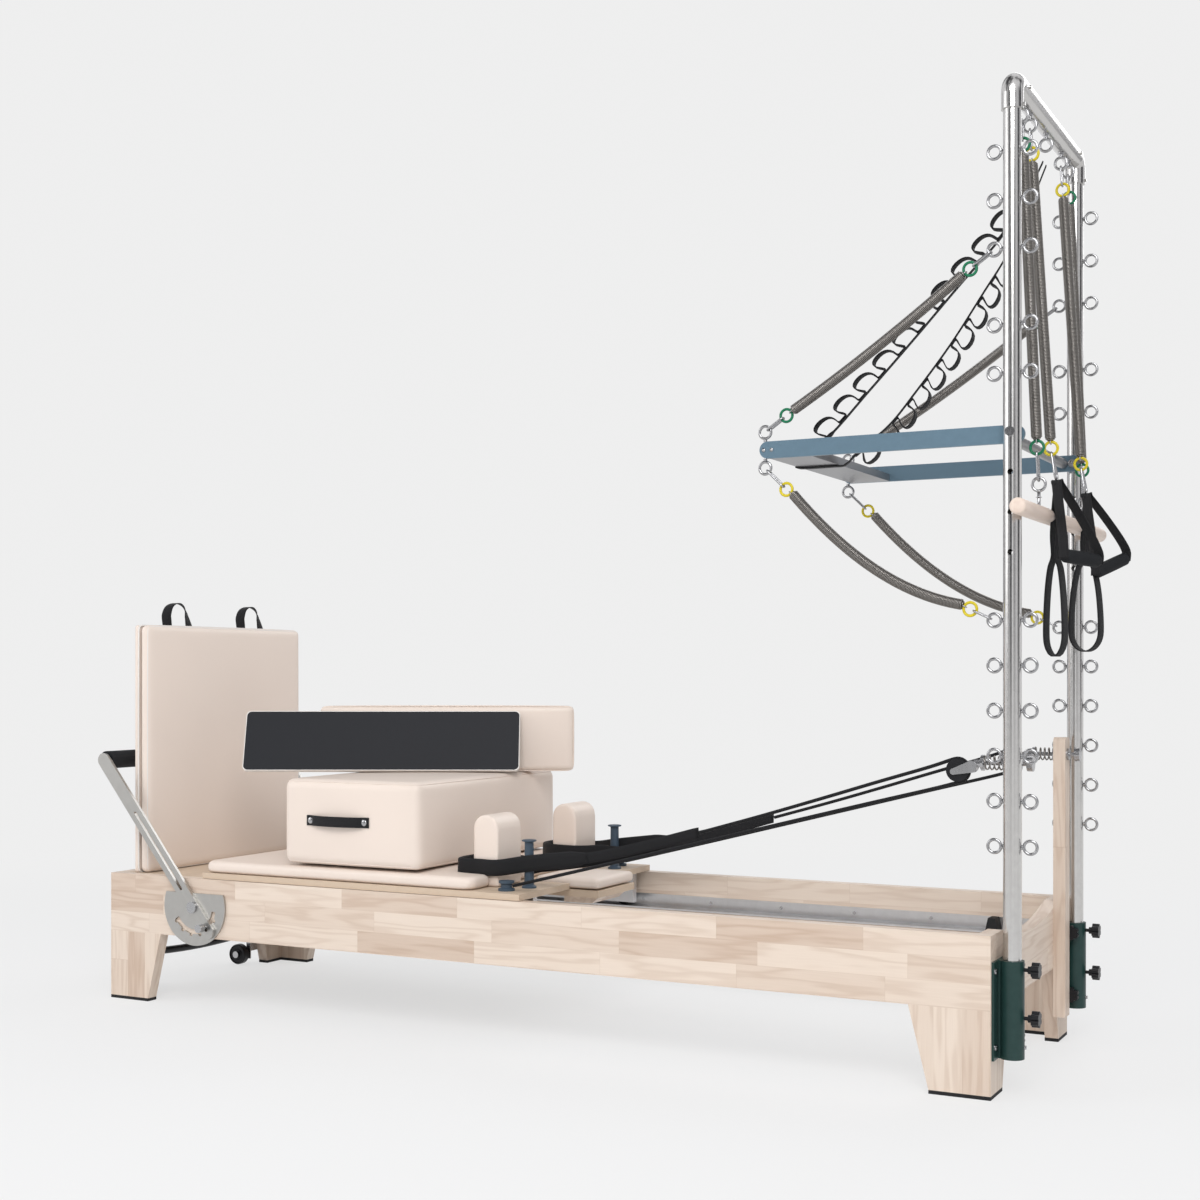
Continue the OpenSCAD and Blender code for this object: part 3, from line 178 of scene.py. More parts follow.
def sweep(path, section, side, closed=False):
    """Vertices, faces and run coordinates of a section carried along a path.
    side is one direction for the whole path or one for each point."""
    n, m = len(path), len(section)
    verts, uvs, run = [], [], 0.0
    ring = [0.0]
    for a, b in zip(section, section[1:]):
        ring.append(ring[-1] + math.dist(a, b))
    for i, p in enumerate(path):
        before = path[(i - 1) % n] if closed or i else p
        after = path[(i + 1) % n] if closed or i + 1 < n else p
        ahead = (after - before).normalized()
        ref = Vector(side[i] if isinstance(side, list) else side)
        u = (ref - ahead * ref.dot(ahead)).normalized()
        v = ahead.cross(u)
        if i:
            run += (p - path[i - 1]).length
        for k, (a, b) in enumerate(section):
            verts.append(p + u * a + v * b)
            uvs.append((run, ring[k]))
    faces = []
    for i in range(n if closed else n - 1):
        for k in range(m):
            a, b = i * m + k, i * m + (k + 1) % m
            c, d = ((i + 1) % n) * m + (k + 1) % m, ((i + 1) % n) * m + k
            faces.append((a, b, c, d))
    if not closed:
        faces.append(tuple(reversed(range(m))))
        faces.append(tuple((n - 1) * m + k for k in range(m)))
    return verts, faces, uvs


def joined(parts):
    """Several (vertices, faces, run coordinates) as one."""
    verts, faces, uvs = [], [], []
    for v, f, u in parts:
        base = len(verts)
        verts += v
        uvs += u
        faces += [tuple(base + i for i in q) for q in f]
    return verts, faces, uvs


def soft_block(lo, hi, radius, crown, cells=26, draw=0.0):
    """A stuffed block: rounded edges, each face swelling by crown at its middle and the
    four upright sides drawn in by draw between their corners. Crown is (x, y, z)."""
    lo, hi = Vector(lo), Vector(hi)
    c, h = (lo + hi) / 2, (hi - lo) / 2
    core = Vector([max(0.0005, h[i] - radius - crown[i]) for i in range(3)])
    bm = bmesh.new()
    bmesh.ops.create_cube(bm, size=2)
    bmesh.ops.subdivide_edges(bm, edges=bm.edges[:], cuts=cells, use_grid_fill=True)
    for v in bm.verts:
        q = v.co.copy()
        big = max(range(3), key=lambda i: abs(q[i]))
        # Cells gather towards the edges, where the form turns
        s = [math.sin(x * math.pi / 2) if i != big else x for i, x in enumerate(q)]
        p = Vector([s[i] * (core[i] + radius) for i in range(3)])
        inner = Vector([max(-core[i], min(core[i], p[i])) for i in range(3)])
        off = p - inner
        if off.length > 1e-9:
            p = inner + off.normalized() * radius
        for i in range(3):
            j, k = (i + 1) % 3, (i + 2) % 3
            fall = max(0, 1 - (p[j] / h[j]) ** 2) ** 0.7 * max(0, 1 - (p[k] / h[k]) ** 2) ** 0.7
            reach = max(-1.0, min(1.0, p[i] / (core[i] + radius)))
            p[i] += math.copysign(crown[i] * fall * abs(reach) ** 3, p[i])
        for i in (0, 1):
            t = p[1 - i] / h[1 - i]
            p[i] *= 1 - draw / h[i] * max(0.0, 1 - t * t)
        v.co = c + p
    mesh = bpy.data.meshes.new("block")
    bm.to_mesh(mesh)
    bm.free()
    verts = [v.co.copy() for v in mesh.vertices]
    faces = [tuple(f.vertices) for f in mesh.polygons]
    bpy.data.meshes.remove(mesh)
    return verts, faces


def moved(verts, matrix):
    return [matrix @ Vector(v) for v in verts]


def softened(node, voxel, rounds):
    """A copy of a CAD node's mesh, remeshed and smoothed into stuffed upholstery."""
    obj = NODES[node].copy()
    obj.data = NODES[node].data.copy()
    obj.parent = None
    obj.matrix_world = Matrix()
    bpy.context.scene.collection.objects.link(obj)
    bm = bmesh.new()
    bm.from_mesh(obj.data)
    bmesh.ops.remove_doubles(bm, verts=bm.verts[:], dist=0.00002)
    bm.to_mesh(obj.data)
    bm.free()
    remesh = obj.modifiers.new("even", "REMESH")
    remesh.mode = "VOXEL"
    remesh.voxel_size = voxel
    smooth = obj.modifiers.new("soft", "SMOOTH")
    smooth.factor = 0.5
    smooth.iterations = rounds
    return applied(obj, node + "_soft")


def applied(obj, name):
    """The object's evaluated mesh as a plain object of that name; the first one goes."""
    bpy.context.view_layer.update()
    graph = bpy.context.evaluated_depsgraph_get()
    mesh = bpy.data.meshes.new_from_object(obj.evaluated_get(graph), depsgraph=graph)
    bpy.data.objects.remove(obj)
    mesh.name = name
    out = bpy.data.objects.new(name, mesh)
    bpy.context.scene.collection.objects.link(out)
    return out


# Geometry Nodes

def new_tree(name, numbers):
    """An empty geometry tree with one geometry in and out and named number inputs."""
    tree = bpy.data.node_groups.new(name, "GeometryNodeTree")
    tree.interface.new_socket("Geometry", in_out="INPUT", socket_type="NodeSocketGeometry")
    for label, kind in numbers:
        tree.interface.new_socket(label, in_out="INPUT", socket_type=kind)
    tree.interface.new_socket("Geometry", in_out="OUTPUT", socket_type="NodeSocketGeometry")
    wires = Wires(tree)
    return tree, wires, wires.put("NodeGroupInput", out=None), wires.put("NodeGroupOutput", out=None)


class Wires:
    """Adds nodes to a tree and links them."""

    def __init__(self, tree):
        self.tree = tree

    def put(self, kind, inputs=(), out=0, **settings):
        node = self.tree.nodes.new(kind)
        for key, value in settings.items():
            setattr(node, key, value)
        pairs = inputs.items() if isinstance(inputs, dict) else enumerate(inputs)
        for key, value in pairs:
            if isinstance(value, bpy.types.NodeSocket):
                self.tree.links.new(value, node.inputs[key])
            else:
                node.inputs[key].default_value = value
        return node if out is None else node.outputs[out]

    def link(self, value, socket):
        self.tree.links.new(value, socket)

    def noise(self, place, scale, detail=2.0, **more):
        """A noise texture; more holds its other inputs."""
        return self.put("ShaderNodeTexNoise", {"Vector": place, "Scale": scale, "Detail": detail, **more})

    def math(self, op, *values, clamp=False):
        return self.put("ShaderNodeMath", values, operation=op, use_clamp=clamp)

    def vec(self, op, *values, out=0):
        return self.put("ShaderNodeVectorMath", values, operation=op, out=out)

    def mix(self, factor, a, b, blend="MIX"):
        return self.put("ShaderNodeMix", {0: factor, 6: a, 7: b}, out=2, data_type="RGBA", blend_type=blend)

    def end(self, group_out, geometry, material):
        real = self.put("GeometryNodeRealizeInstances", [geometry])
        done = self.put("GeometryNodeSetMaterial", {"Geometry": real, "Material": material})
        self.tree.links.new(done, group_out.inputs[0])


def coil_tree(material):
    """Winds wire round a guide line; the ends narrow where they meet their rings."""
    numbers = [("Turns", "NodeSocketInt"), ("Coil Radius", "NodeSocketFloat"),
               ("Wire Radius", "NodeSocketFloat"), ("End Taper", "NodeSocketFloat")]
    tree, w, gin, gout = new_tree("coil", numbers)
    steps = 11
    count = w.math("MULTIPLY", gin.outputs["Turns"], float(steps))
    line = w.put("GeometryNodeResampleCurve", {"Curve": gin.outputs["Geometry"], "Count": count})
    tangent = w.put("GeometryNodeInputTangent")
    side = w.vec("NORMALIZE", w.vec("CROSS_PRODUCT", tangent, (0.13, 0.9, 0.11)))
    other = w.vec("CROSS_PRODUCT", tangent, side)
    angle = w.math("MULTIPLY", w.put("GeometryNodeInputIndex"), 2 * math.pi / steps)
    part = w.put("GeometryNodeSplineParameter", out=0)
    edge = w.math("MULTIPLY", w.math("MINIMUM", part, w.math("SUBTRACT", 1.0, part)), 55.0)
    low = w.math("SUBTRACT", 1.0, gin.outputs["End Taper"])
    scale = w.math("MINIMUM", 1.0, w.math("ADD", low, edge))
    reach = w.math("MULTIPLY", gin.outputs["Coil Radius"], scale)
    u = w.put("ShaderNodeVectorMath", {0: side, "Scale": w.math("MULTIPLY", reach, w.math("COSINE", angle))},
              operation="SCALE")
    v = w.put("ShaderNodeVectorMath", {0: other, "Scale": w.math("MULTIPLY", reach, w.math("SINE", angle))},
              operation="SCALE")
    wound = w.put("GeometryNodeSetPosition", {"Geometry": line, "Offset": w.vec("ADD", u, v)})
    wire = w.put("GeometryNodeCurvePrimitiveCircle", {"Resolution": 6, "Radius": gin.outputs["Wire Radius"]})
    mesh = w.put("GeometryNodeCurveToMesh", {"Curve": wound, "Profile Curve": wire, "Fill Caps": True})
    w.end(gout, w.put("GeometryNodeSetShadeSmooth", {"Geometry": mesh}), material)
    return tree


def ring_tree(material):
    """Sets a closed ring at each point of a cloud, in the XZ plane."""
    numbers = [("Ring Radius", "NodeSocketFloat"), ("Section", "NodeSocketFloat")]
    tree, w, gin, gout = new_tree("rings", numbers)
    loop = w.put("GeometryNodeCurvePrimitiveCircle", {"Resolution": 40, "Radius": gin.outputs["Ring Radius"]})
    section = w.put("GeometryNodeCurvePrimitiveCircle", {"Resolution": 12, "Radius": gin.outputs["Section"]})
    ring = w.put("GeometryNodeCurveToMesh", {"Curve": loop, "Profile Curve": section})
    smooth = w.put("GeometryNodeSetShadeSmooth", {"Geometry": ring})
    stood = w.put("GeometryNodeTransform", {"Geometry": smooth, "Rotation": (math.pi / 2, 0, 0)})
    rings = w.put("GeometryNodeInstanceOnPoints", {"Points": gin.outputs["Geometry"], "Instance": stood})
    w.end(gout, rings, material)
    return tree


def stud_tree(material):
    """Sets a domed stud on each point, lying along X, Y or Z as turned."""
    numbers = [("Stud Radius", "NodeSocketFloat"), ("Turn", "NodeSocketVector")]
    tree, w, gin, gout = new_tree("studs", numbers)
    ball = w.put("GeometryNodeMeshUVSphere", {"Segments": 20, "Rings": 10, "Radius": gin.outputs["Stud Radius"]})
    flat = w.put("GeometryNodeTransform", {"Geometry": ball, "Scale": (1, 1, 0.38)})
    turned = w.put("GeometryNodeTransform", {"Geometry": flat, "Rotation": gin.outputs["Turn"]})
    smooth = w.put("GeometryNodeSetShadeSmooth", {"Geometry": turned})
    studs = w.put("GeometryNodeInstanceOnPoints", {"Points": gin.outputs["Geometry"], "Instance": smooth})
    w.end(gout, studs, material)
    return tree


def grown(name, base, tree, values):
    """A base object's geometry after a tree, as a plain mesh."""
    obj = bpy.data.objects.new(name + "_base", base)
    bpy.context.scene.collection.objects.link(obj)
    modifier = obj.modifiers.new("grow", "NODES")
    modifier.node_group = tree
    for item in tree.interface.items_tree:
        if item.in_out == "INPUT" and item.name in values:
            modifier[item.identifier] = values[item.name]
    return applied(obj, name)


def line_data(points):
    data = bpy.data.curves.new("line", "CURVE")
    data.dimensions = "3D"
    spline = data.splines.new("POLY")
    spline.points.add(len(points) - 1)
    for slot, p in zip(spline.points, points):
        slot.co = (*p, 1)
    return data


def cloud_data(points):
    mesh = bpy.data.meshes.new("cloud")
    mesh.from_pydata([tuple(p) for p in points], [], [])
    return mesh


# Shader groups

def new_group(name, inputs, outputs):
    tree = bpy.data.node_groups.new(name, "ShaderNodeTree")
    for label, kind, value in inputs:
        socket = tree.interface.new_socket(label, in_out="INPUT", socket_type="NodeSocket" + kind)
        socket.default_value = value
    for label, kind in outputs:
        tree.interface.new_socket(label, in_out="OUTPUT", socket_type="NodeSocket" + kind)
    w = Wires(tree)
    return tree, w, w.put("NodeGroupInput", out=None), w.put("NodeGroupOutput", out=None)


def stave_group():
    """Glued staves of pale hardwood that run along the first coordinate."""
    tree, w, gin, gout = new_group(
        "staves",
        [("Vector", "Vector", (0, 0, 0)), ("Stave Length", "Float", 0.34), ("Stave Height", "Float", 0.052),
         ("Light", "Color", (0.8, 0.6, 0.43, 1)), ("Dark", "Color", (0.6, 0.4, 0.25, 1))],
        [("Color", "Color"), ("Roughness", "Float"), ("Height", "Float")])
    xyz = w.put("ShaderNodeSeparateXYZ", [gin.outputs["Vector"]], out=None)
    across = w.math("ADD", w.math("DIVIDE", xyz.outputs[2], gin.outputs["Stave Height"]), 0.45)
    row = w.math("FLOOR", across)
    layer = w.math("FLOOR", w.math("DIVIDE", xyz.outputs[1], 0.06))
    seed = w.put("ShaderNodeCombineXYZ", [row, layer, 3.7])
    shift = w.put("ShaderNodeTexWhiteNoise", {"Vector": seed}, noise_dimensions="3D")
    lengthwise = w.math("ADD", w.math("DIVIDE", xyz.outputs[0], gin.outputs["Stave Length"]),
                        w.math("MULTIPLY", shift, 5.0))
    column = w.math("FLOOR", lengthwise)
    ident = w.put("ShaderNodeCombineXYZ", [row, column, layer])
    tone = w.put("ShaderNodeTexWhiteNoise", {"Vector": ident}, noise_dimensions="3D")
    stretch = w.vec("MULTIPLY", gin.outputs["Vector"], (1.5, 15.0, 15.0))
    where = w.vec("ADD", stretch, w.put("ShaderNodeVectorMath", {0: ident, "Scale": 7.3}, operation="SCALE"))
    broad = w.put("ShaderNodeTexNoise", {"Vector": where, "Scale": 1.0, "Detail": 3.0, "Roughness": 0.5})
    bands = w.math("ABSOLUTE", w.math("SINE", w.math("MULTIPLY", broad, 24.0)))
    fine = w.noise(w.vec("MULTIPLY", gin.outputs["Vector"], (14.0, 420.0, 420.0)), 1.0)
    grain = w.math("ADD", w.math("MULTIPLY", w.math("POWER", bands, 5.0), 0.5), w.math("MULTIPLY", fine, 0.4))
    stave_tone = w.math("MULTIPLY", w.math("POWER", tone, 1.8), 0.45)
    shade = w.math("ADD", stave_tone, w.math("MULTIPLY", grain, 0.5), clamp=True)
    colour = w.mix(shade, gin.outputs["Light"], gin.outputs["Dark"])
    gap_row = w.math("LESS_THAN", w.math("PINGPONG", across, 0.5), 0.008)
    gap_col = w.math("LESS_THAN", w.math("PINGPONG", lengthwise, 0.5), 0.0016)
    gap = w.math("MULTIPLY", w.math("MAXIMUM", gap_row, gap_col), 0.22)
    colour = w.mix(gap, colour, (0.38, 0.25, 0.16, 1))
    w.link(colour, gout.inputs["Color"])
    w.link(w.math("ADD", 0.42, w.math("MULTIPLY", grain, 0.22)), gout.inputs["Roughness"])
    w.link(w.math("SUBTRACT", w.math("MULTIPLY", fine, 0.5), gap), gout.inputs["Height"])
    return tree


def skin_group():
    """Fine leather-like grain with soft wrinkles."""
    tree, w, gin, gout = new_group(
        "skin", [("Grain Size", "Float", 0.0016), ("Wrinkle", "Float", 0.35)],
        [("Height", "Float"), ("Tone", "Float")])
    place = w.put("ShaderNodeTexCoord", out=3)
    scale = w.math("DIVIDE", 1.0, gin.outputs["Grain Size"])
    cells = w.put("ShaderNodeTexVoronoi", {"Vector": place, "Scale": scale}, feature="SMOOTH_F1")
    folds = w.put("ShaderNodeTexNoise", {"Vector": place, "Scale": 9.0, "Detail": 4.0, "Distortion": 0.6})
    tone = w.noise(place, 2.6)
    height = w.math("ADD", w.math("MULTIPLY", cells, 0.12), w.math("MULTIPLY", folds, gin.outputs["Wrinkle"]))
    w.link(height, gout.inputs["Height"])
    w.link(tone, gout.inputs["Tone"])
    return tree


def weave_group():
    """Ribbed webbing: picks across the run and warp lines along it, on the run coordinates."""
    tree, w, gin, gout = new_group("weave", [("Pitch", "Float", 0.0016)], [("Height", "Float"), ("Tone", "Float")])
    run = w.put("ShaderNodeUVMap", uv_map="run")
    xyz = w.put("ShaderNodeSeparateXYZ", [run], out=None)
    turn = w.math("DIVIDE", 2 * math.pi, gin.outputs["Pitch"])
    across = w.math("SINE", w.math("MULTIPLY", xyz.outputs[0], turn))
    down = w.math("SINE", w.math("MULTIPLY", xyz.outputs[1], turn))
    weave = w.math("MULTIPLY", across, down)
    w.link(w.math("ADD", weave, w.math("MULTIPLY", down, 0.4)), gout.inputs["Height"])
    w.link(w.math("MULTIPLY_ADD", weave, 0.5, 0.5), gout.inputs["Tone"])
    return tree


def brush_group():
    """Satin metal: short scratches along one direction and faint handling marks."""
    tree, w, gin, gout = new_group("brushed", [("Stretch", "Vector", (900.0, 900.0, 6.0)), ("Marks", "Float", 0.12)],
                                   [("Roughness", "Float"), ("Height", "Float"), ("Tone", "Float")])
    place = w.put("ShaderNodeTexCoord", out=3)
    lines = w.noise(w.vec("MULTIPLY", place, gin.outputs["Stretch"]), 1.0)
    marks = w.noise(place, 14.0, 5.0)
    rough = w.math("ADD", w.math("MULTIPLY", lines, 0.16), w.math("MULTIPLY", marks, gin.outputs["Marks"]))
    w.link(w.math("ADD", rough, 0.1), gout.inputs["Roughness"])
    w.link(lines, gout.inputs["Height"])
    w.link(marks, gout.inputs["Tone"])
    return tree


def edge_highlight_group():
    """Painted highlight: edges catch more light, as a mask from how sharply the surface turns, broken up by noise.
    """
    tree, w, gin, gout = new_group("edge_highlight", [("Spread", "Float", 0.5)], [("Mask", "Float")])
    bend = w.put("ShaderNodeNewGeometry", out=7)
    place = w.put("ShaderNodeTexCoord", out=3)
    patch = w.noise(place, 60.0, 4.0)
    sharp = w.math("MULTIPLY", w.math("SUBTRACT", bend, 0.52), 8.0, clamp=True)
    mask = w.math("MULTIPLY", sharp, w.math("MULTIPLY", patch, gin.outputs["Spread"]), clamp=True)
    w.link(mask, gout.inputs["Mask"])
    return tree


def place_group(w, tree, inputs=()):
    node = w.put("ShaderNodeGroup", (), out=None, node_tree=tree)
    for key, value in dict(inputs).items():
        if isinstance(value, bpy.types.NodeSocket):
            w.link(value, node.inputs[key])
        else:
            node.inputs[key].default_value = value
    return node.outputs


# Materials

def new_material(name):
    material = bpy.data.materials.new(name)
    material.use_nodes = True
    tree = material.node_tree
    shader = next(n for n in tree.nodes if n.type == "BSDF_PRINCIPLED")
    return material, Wires(tree), shader


def link_bump(w, shader, height, strength, distance):
    bump = w.put("ShaderNodeBump", {"Height": height, "Strength": strength, "Distance": distance})
    w.link(bump, shader.inputs["Normal"])


def wood_material(name, turn, light, dark, stave=(0.34, 0.052)):
    """Turn puts the grain's direction on the first coordinate."""
    material, w, shader = new_material(name)
    place = w.put("ShaderNodeTexCoord", out=3)
    xyz = w.put("ShaderNodeSeparateXYZ", [place], out=None)
    order = w.put("ShaderNodeCombineXYZ", [xyz.outputs[i] for i in turn])
    out = place_group(w, SHARED["staves"], {"Vector": order, "Stave Length": stave[0], "Stave Height": stave[1],
                                           "Light": (*light, 1), "Dark": (*dark, 1)})
    w.link(out["Color"], shader.inputs["Base Color"])
    w.link(out["Roughness"], shader.inputs["Roughness"])
    shader.inputs["Coat Weight"].default_value = 0.15
    shader.inputs["Coat Roughness"].default_value = 0.35
    link_bump(w, shader, out["Height"], 0.12, 0.0004)
    return material


def metal_material(name, colour, marks=0.12, stretch=(900.0, 900.0, 6.0), floor=0.0, metallic=1.0):
    material, w, shader = new_material(name)
    out = place_group(w, SHARED["brushed"], {"Marks": marks, "Stretch": stretch})
    edge_light = place_group(w, SHARED["edge_highlight"])
    dull = w.mix(w.math("MULTIPLY", out["Tone"], 0.3), (*colour, 1), (*[c * 0.72 for c in colour], 1))
    # Convex edges are made lighter by the mask: a painted highlight
    tint = w.mix(edge_light["Mask"], dull, (*[min(1, c * 1.35) for c in colour], 1))
    w.link(tint, shader.inputs["Base Color"])
    w.link(w.math("ADD", out["Roughness"], floor), shader.inputs["Roughness"])
    shader.inputs["Metallic"].default_value = metallic
    link_bump(w, shader, out["Height"], 0.06, 0.0002)
    return material


def skin_material(name, colour, rough=0.46, wrinkle=0.35):
    material, w, shader = new_material(name)
    out = place_group(w, SHARED["skin"], {"Wrinkle": wrinkle})
    tint = w.mix(out["Tone"], (*colour, 1), (*[c * 0.9 for c in colour], 1))
    w.link(tint, shader.inputs["Base Color"])
    w.link(w.math("MULTIPLY_ADD", out["Tone"], 0.12, rough - 0.06), shader.inputs["Roughness"])
    shader.inputs["Specular IOR Level"].default_value = 0.42
    link_bump(w, shader, out["Height"], 0.22, 0.0006)
    return material


def web_material(name, colour):
    material, w, shader = new_material(name)
    out = place_group(w, SHARED["weave"])
    tint = w.mix(out["Tone"], (*[c * 0.55 for c in colour], 1), (*colour, 1))
    w.link(tint, shader.inputs["Base Color"])
    shader.inputs["Roughness"].default_value = 0.72
    shader.inputs["Sheen Weight"].default_value = 0.06
    shader.inputs["Specular IOR Level"].default_value = 0.25
    link_bump(w, shader, out["Height"], 0.5, 0.0004)
    return material


def moulded_material(name, colour, rough=0.45, size=0.0006, metallic=0.0):
    """Moulded plastic, foam or powder coat: a fine pebble, with edges made lighter as a painted highlight."""
    material, w, shader = new_material(name)
    place = w.put("ShaderNodeTexCoord", out=3)
    pebble = w.noise(place, 1 / size)
    edge_light = place_group(w, SHARED["edge_highlight"], {"Spread": 0.35})
    broad = w.noise(place, 6.0, 3.0)
    tone = w.mix(w.math("MULTIPLY", broad, 0.35), (*colour, 1), (*[c * 0.75 for c in colour], 1))
    # Convex edges are made lighter by the mask: a painted highlight
    tint = w.mix(edge_light["Mask"], tone, (*[min(1, c * 1.5 + 0.03) for c in colour], 1))
    w.link(tint, shader.inputs["Base Color"])
    w.link(w.math("MULTIPLY_ADD", pebble, 0.16, rough - 0.08), shader.inputs["Roughness"])
    shader.inputs["Metallic"].default_value = metallic
    shader.inputs["Specular IOR Level"].default_value = 0.3
    link_bump(w, shader, pebble, 0.18, 0.0003)
    return material


def ply_material(name, light, dark):
    """Plywood: long flame grain on its faces, thin plies on its edges."""
    material, w, shader = new_material(name)
    place = w.put("ShaderNodeTexCoord", out=3)
    xyz = w.put("ShaderNodeSeparateXYZ", [place], out=None)
    plies = w.math("SINE", w.math("MULTIPLY", xyz.outputs[2], 2 * math.pi / 0.0026))
    face_up = w.math("ABSOLUTE", w.put("ShaderNodeSeparateXYZ", [w.put("ShaderNodeNewGeometry", out=1)], out=2))
    flame = w.put("ShaderNodeTexNoise", {"Vector": w.vec("MULTIPLY", place, (18.0, 2.2, 18.0)), "Scale": 1.0,
                                         "Detail": 4.0, "Distortion": 0.4})
    edge = w.math("MULTIPLY_ADD", plies, 0.35, 0.5)
    shade = w.put("ShaderNodeMix", {0: w.math("GREATER_THAN", face_up, 0.5), 2: edge, 3: flame}, data_type="FLOAT")
    w.link(w.mix(shade, (*light, 1), (*dark, 1)), shader.inputs["Base Color"])
    shader.inputs["Roughness"].default_value = 0.5
    link_bump(w, shader, shade, 0.08, 0.0003)
    return material


SHARED = {}
LOOKS = {}


def make_looks(settings):
    for name, build in (("staves", stave_group), ("skin", skin_group), ("weave", weave_group),
                        ("brushed", brush_group), ("edge_highlight", edge_highlight_group)):
        SHARED[name] = build()
    light, dark = settings.wood_light[:3], settings.wood_dark[:3]
    stave = (settings.stave_length, settings.stave_height)
    LOOKS.update(
        wood_x=wood_material("birch_rails", (0, 1, 2), light, dark, stave),
        wood_y=wood_material("birch_ends", (1, 0, 2), light, dark, stave),
        wood_z=wood_material("birch_legs", (2, 0, 1), light, dark, (0.5, 0.06)),
        post=wood_material("birch_posts", (2, 1, 0), light, dark, (0.9, 0.4)),
        dowel=wood_material("birch_dowel", (1, 0, 2), (0.76, 0.64, 0.55), (0.62, 0.48, 0.4), (1.4, 0.3)),
        ply=ply_material("plywood", (0.7, 0.58, 0.46), (0.46, 0.33, 0.22)),
        vinyl=skin_material("cream_vinyl", settings.vinyl[:3]),
        piping=skin_material("white_piping", (0.78, 0.74, 0.7), 0.4, 0.1),
        webbing=web_material("black_webbing", settings.webbing[:3]),
        rope=web_material("black_rope", (0.01, 0.01, 0.012)),
        steel=metal_material("satin_tube", (0.6, 0.59, 0.58), 0.05),
        zinc=metal_material("zinc_plate", (0.46, 0.46, 0.47), 0.16, (200.0, 200.0, 200.0)),
        arm=metal_material("brushed_arm", (0.5, 0.49, 0.47), 0.14, (40.0, 900.0, 40.0), 0.12),
        spring=metal_material("spring_wire", (0.26, 0.245, 0.23), 0.2, (200.0, 200.0, 200.0), 0.1),
        track=metal_material("track_alloy", (0.66, 0.66, 0.67), 0.15, (6.0, 900.0, 900.0), 0.1),
        blue=bar_material("blue_grey_coat", settings.bar_blue[:3], (0.3, 0.3, 0.31), 0.2735),
        green=moulded_material("dark_green_coat", (0.012, 0.04, 0.036), 0.34, 0.0005),
        slate=moulded_material("slate_plastic", (0.05, 0.075, 0.105), 0.42),
        plastic=moulded_material("black_plastic", (0.006, 0.006, 0.008), 0.36),
        rubber=moulded_material("black_rubber", (0.008, 0.008, 0.009), 0.7),
        foam=moulded_material("black_foam", (0.009, 0.01, 0.012), 0.75, 0.0012),
        laminate=moulded_material("grip_laminate", (0.009, 0.01, 0.014), 0.6, 0.0008),
        ring_green=moulded_material("green_ring", (0.01, 0.16, 0.075), 0.35),
        ring_yellow=moulded_material("yellow_ring", (0.62, 0.5, 0.02), 0.35))


def bar_material(name, colour, plate, inner):
    """Coated arms with a bare metal board between them; inner is half the room between the arms."""
    material, w, shader = new_material(name)
    place = w.put("ShaderNodeTexCoord", out=3)
    xyz = w.put("ShaderNodeSeparateXYZ", [place], out=None)
    board = w.math("LESS_THAN", w.math("ABSOLUTE", xyz.outputs[1]), inner)
    pebble = w.noise(place, 1500.0)
    edge_light = place_group(w, SHARED["edge_highlight"], {"Spread": 0.4})
    # The coat is made lighter on convex edges by the mask: a painted highlight
    paint = w.mix(edge_light["Mask"], (*colour, 1), (*[c * 1.8 for c in colour], 1))
    w.link(w.mix(board, paint, (*plate, 1)), shader.inputs["Base Color"])
    w.link(w.math("MULTIPLY_ADD", board, 0.6, 0.3), shader.inputs["Metallic"])
    w.link(w.math("MULTIPLY_ADD", pebble, 0.16, 0.3), shader.inputs["Roughness"])
    link_bump(w, shader, pebble, 0.15, 0.0003)
    return material


def dress(look, *nodes):
    for node in nodes:
        obj = NODES[node]
        if not obj.material_slots:
            obj.data.materials.append(LOOKS[look])
        for slot in obj.material_slots:
            slot.material = LOOKS[look]


# Settings

def colour(name, text, value):
    return FloatVectorProperty(name=name, description=text, subtype="COLOR", size=3, min=0, max=1, default=value)


def length(name, text, value, low, high):
    return FloatProperty(name=name, description=text, subtype="DISTANCE", default=value, min=low, max=high)


class LookSettings(bpy.types.PropertyGroup):
    """Colours and wood sizes."""
    wood_light: colour("Light stave", "Colour of the palest staves", (0.76, 0.65, 0.55))
    wood_dark: colour("Dark stave", "Colour of the darkest staves and grain", (0.47, 0.33, 0.24))
    vinyl: colour("Vinyl", "Colour of the upholstery", (0.79, 0.68, 0.6))
    webbing: colour("Webbing", "Colour of the straps", (0.012, 0.012, 0.014))
    bar_blue: colour("Bar", "Colour of the push-through bar", (0.115, 0.185, 0.24))
    stave_length: length("Stave length", "Length of a glued stave", 0.34, 0.1, 1)
    stave_height: length("Stave height", "Height of a glued stave", 0.052, 0.02, 0.2)


class SpringSettings(bpy.types.PropertyGroup):
    """Sizes of the wound springs."""
    pitch: length("Pitch", "Distance from one curl to the next", 0.0031, 0.003, 0.02)
    wire: length("Wire radius", "Radius of the wire", 0.0015, 0.0005, 0.003)


class CushionSettings(bpy.types.PropertyGroup):
    """Sizes of the upholstery."""
    welt: length("Seam", "Radius of the sewn edge", 0.0016, 0.0005, 0.005)
    cells: IntProperty(name="Cells", description="Divisions along each side of a cushion", default=30, min=8, max=60)


class StrapSettings(bpy.types.PropertyGroup):
    """Sizes of straps and ropes."""
    thick: length("Webbing thickness", "Thickness of the webbing", 0.0026, 0.001, 0.005)
    rope: length("Rope radius", "Radius of the ropes", 0.004, 0.002, 0.008)
    loops: IntProperty(name="Ladder loops", description="Loops on each leg of the ladder strap", default=10,
                       min=3, max=20)


class StageSettings(bpy.types.PropertyGroup):
    """Lights and camera."""
    lens: FloatProperty(name="Lens", description="Focal length in millimetres", default=50.55, min=20, max=200)
    ground: FloatProperty(name="Ground", description="Brightness of the floor and backdrop", default=0.86,
                          min=0, max=1)


# Operators

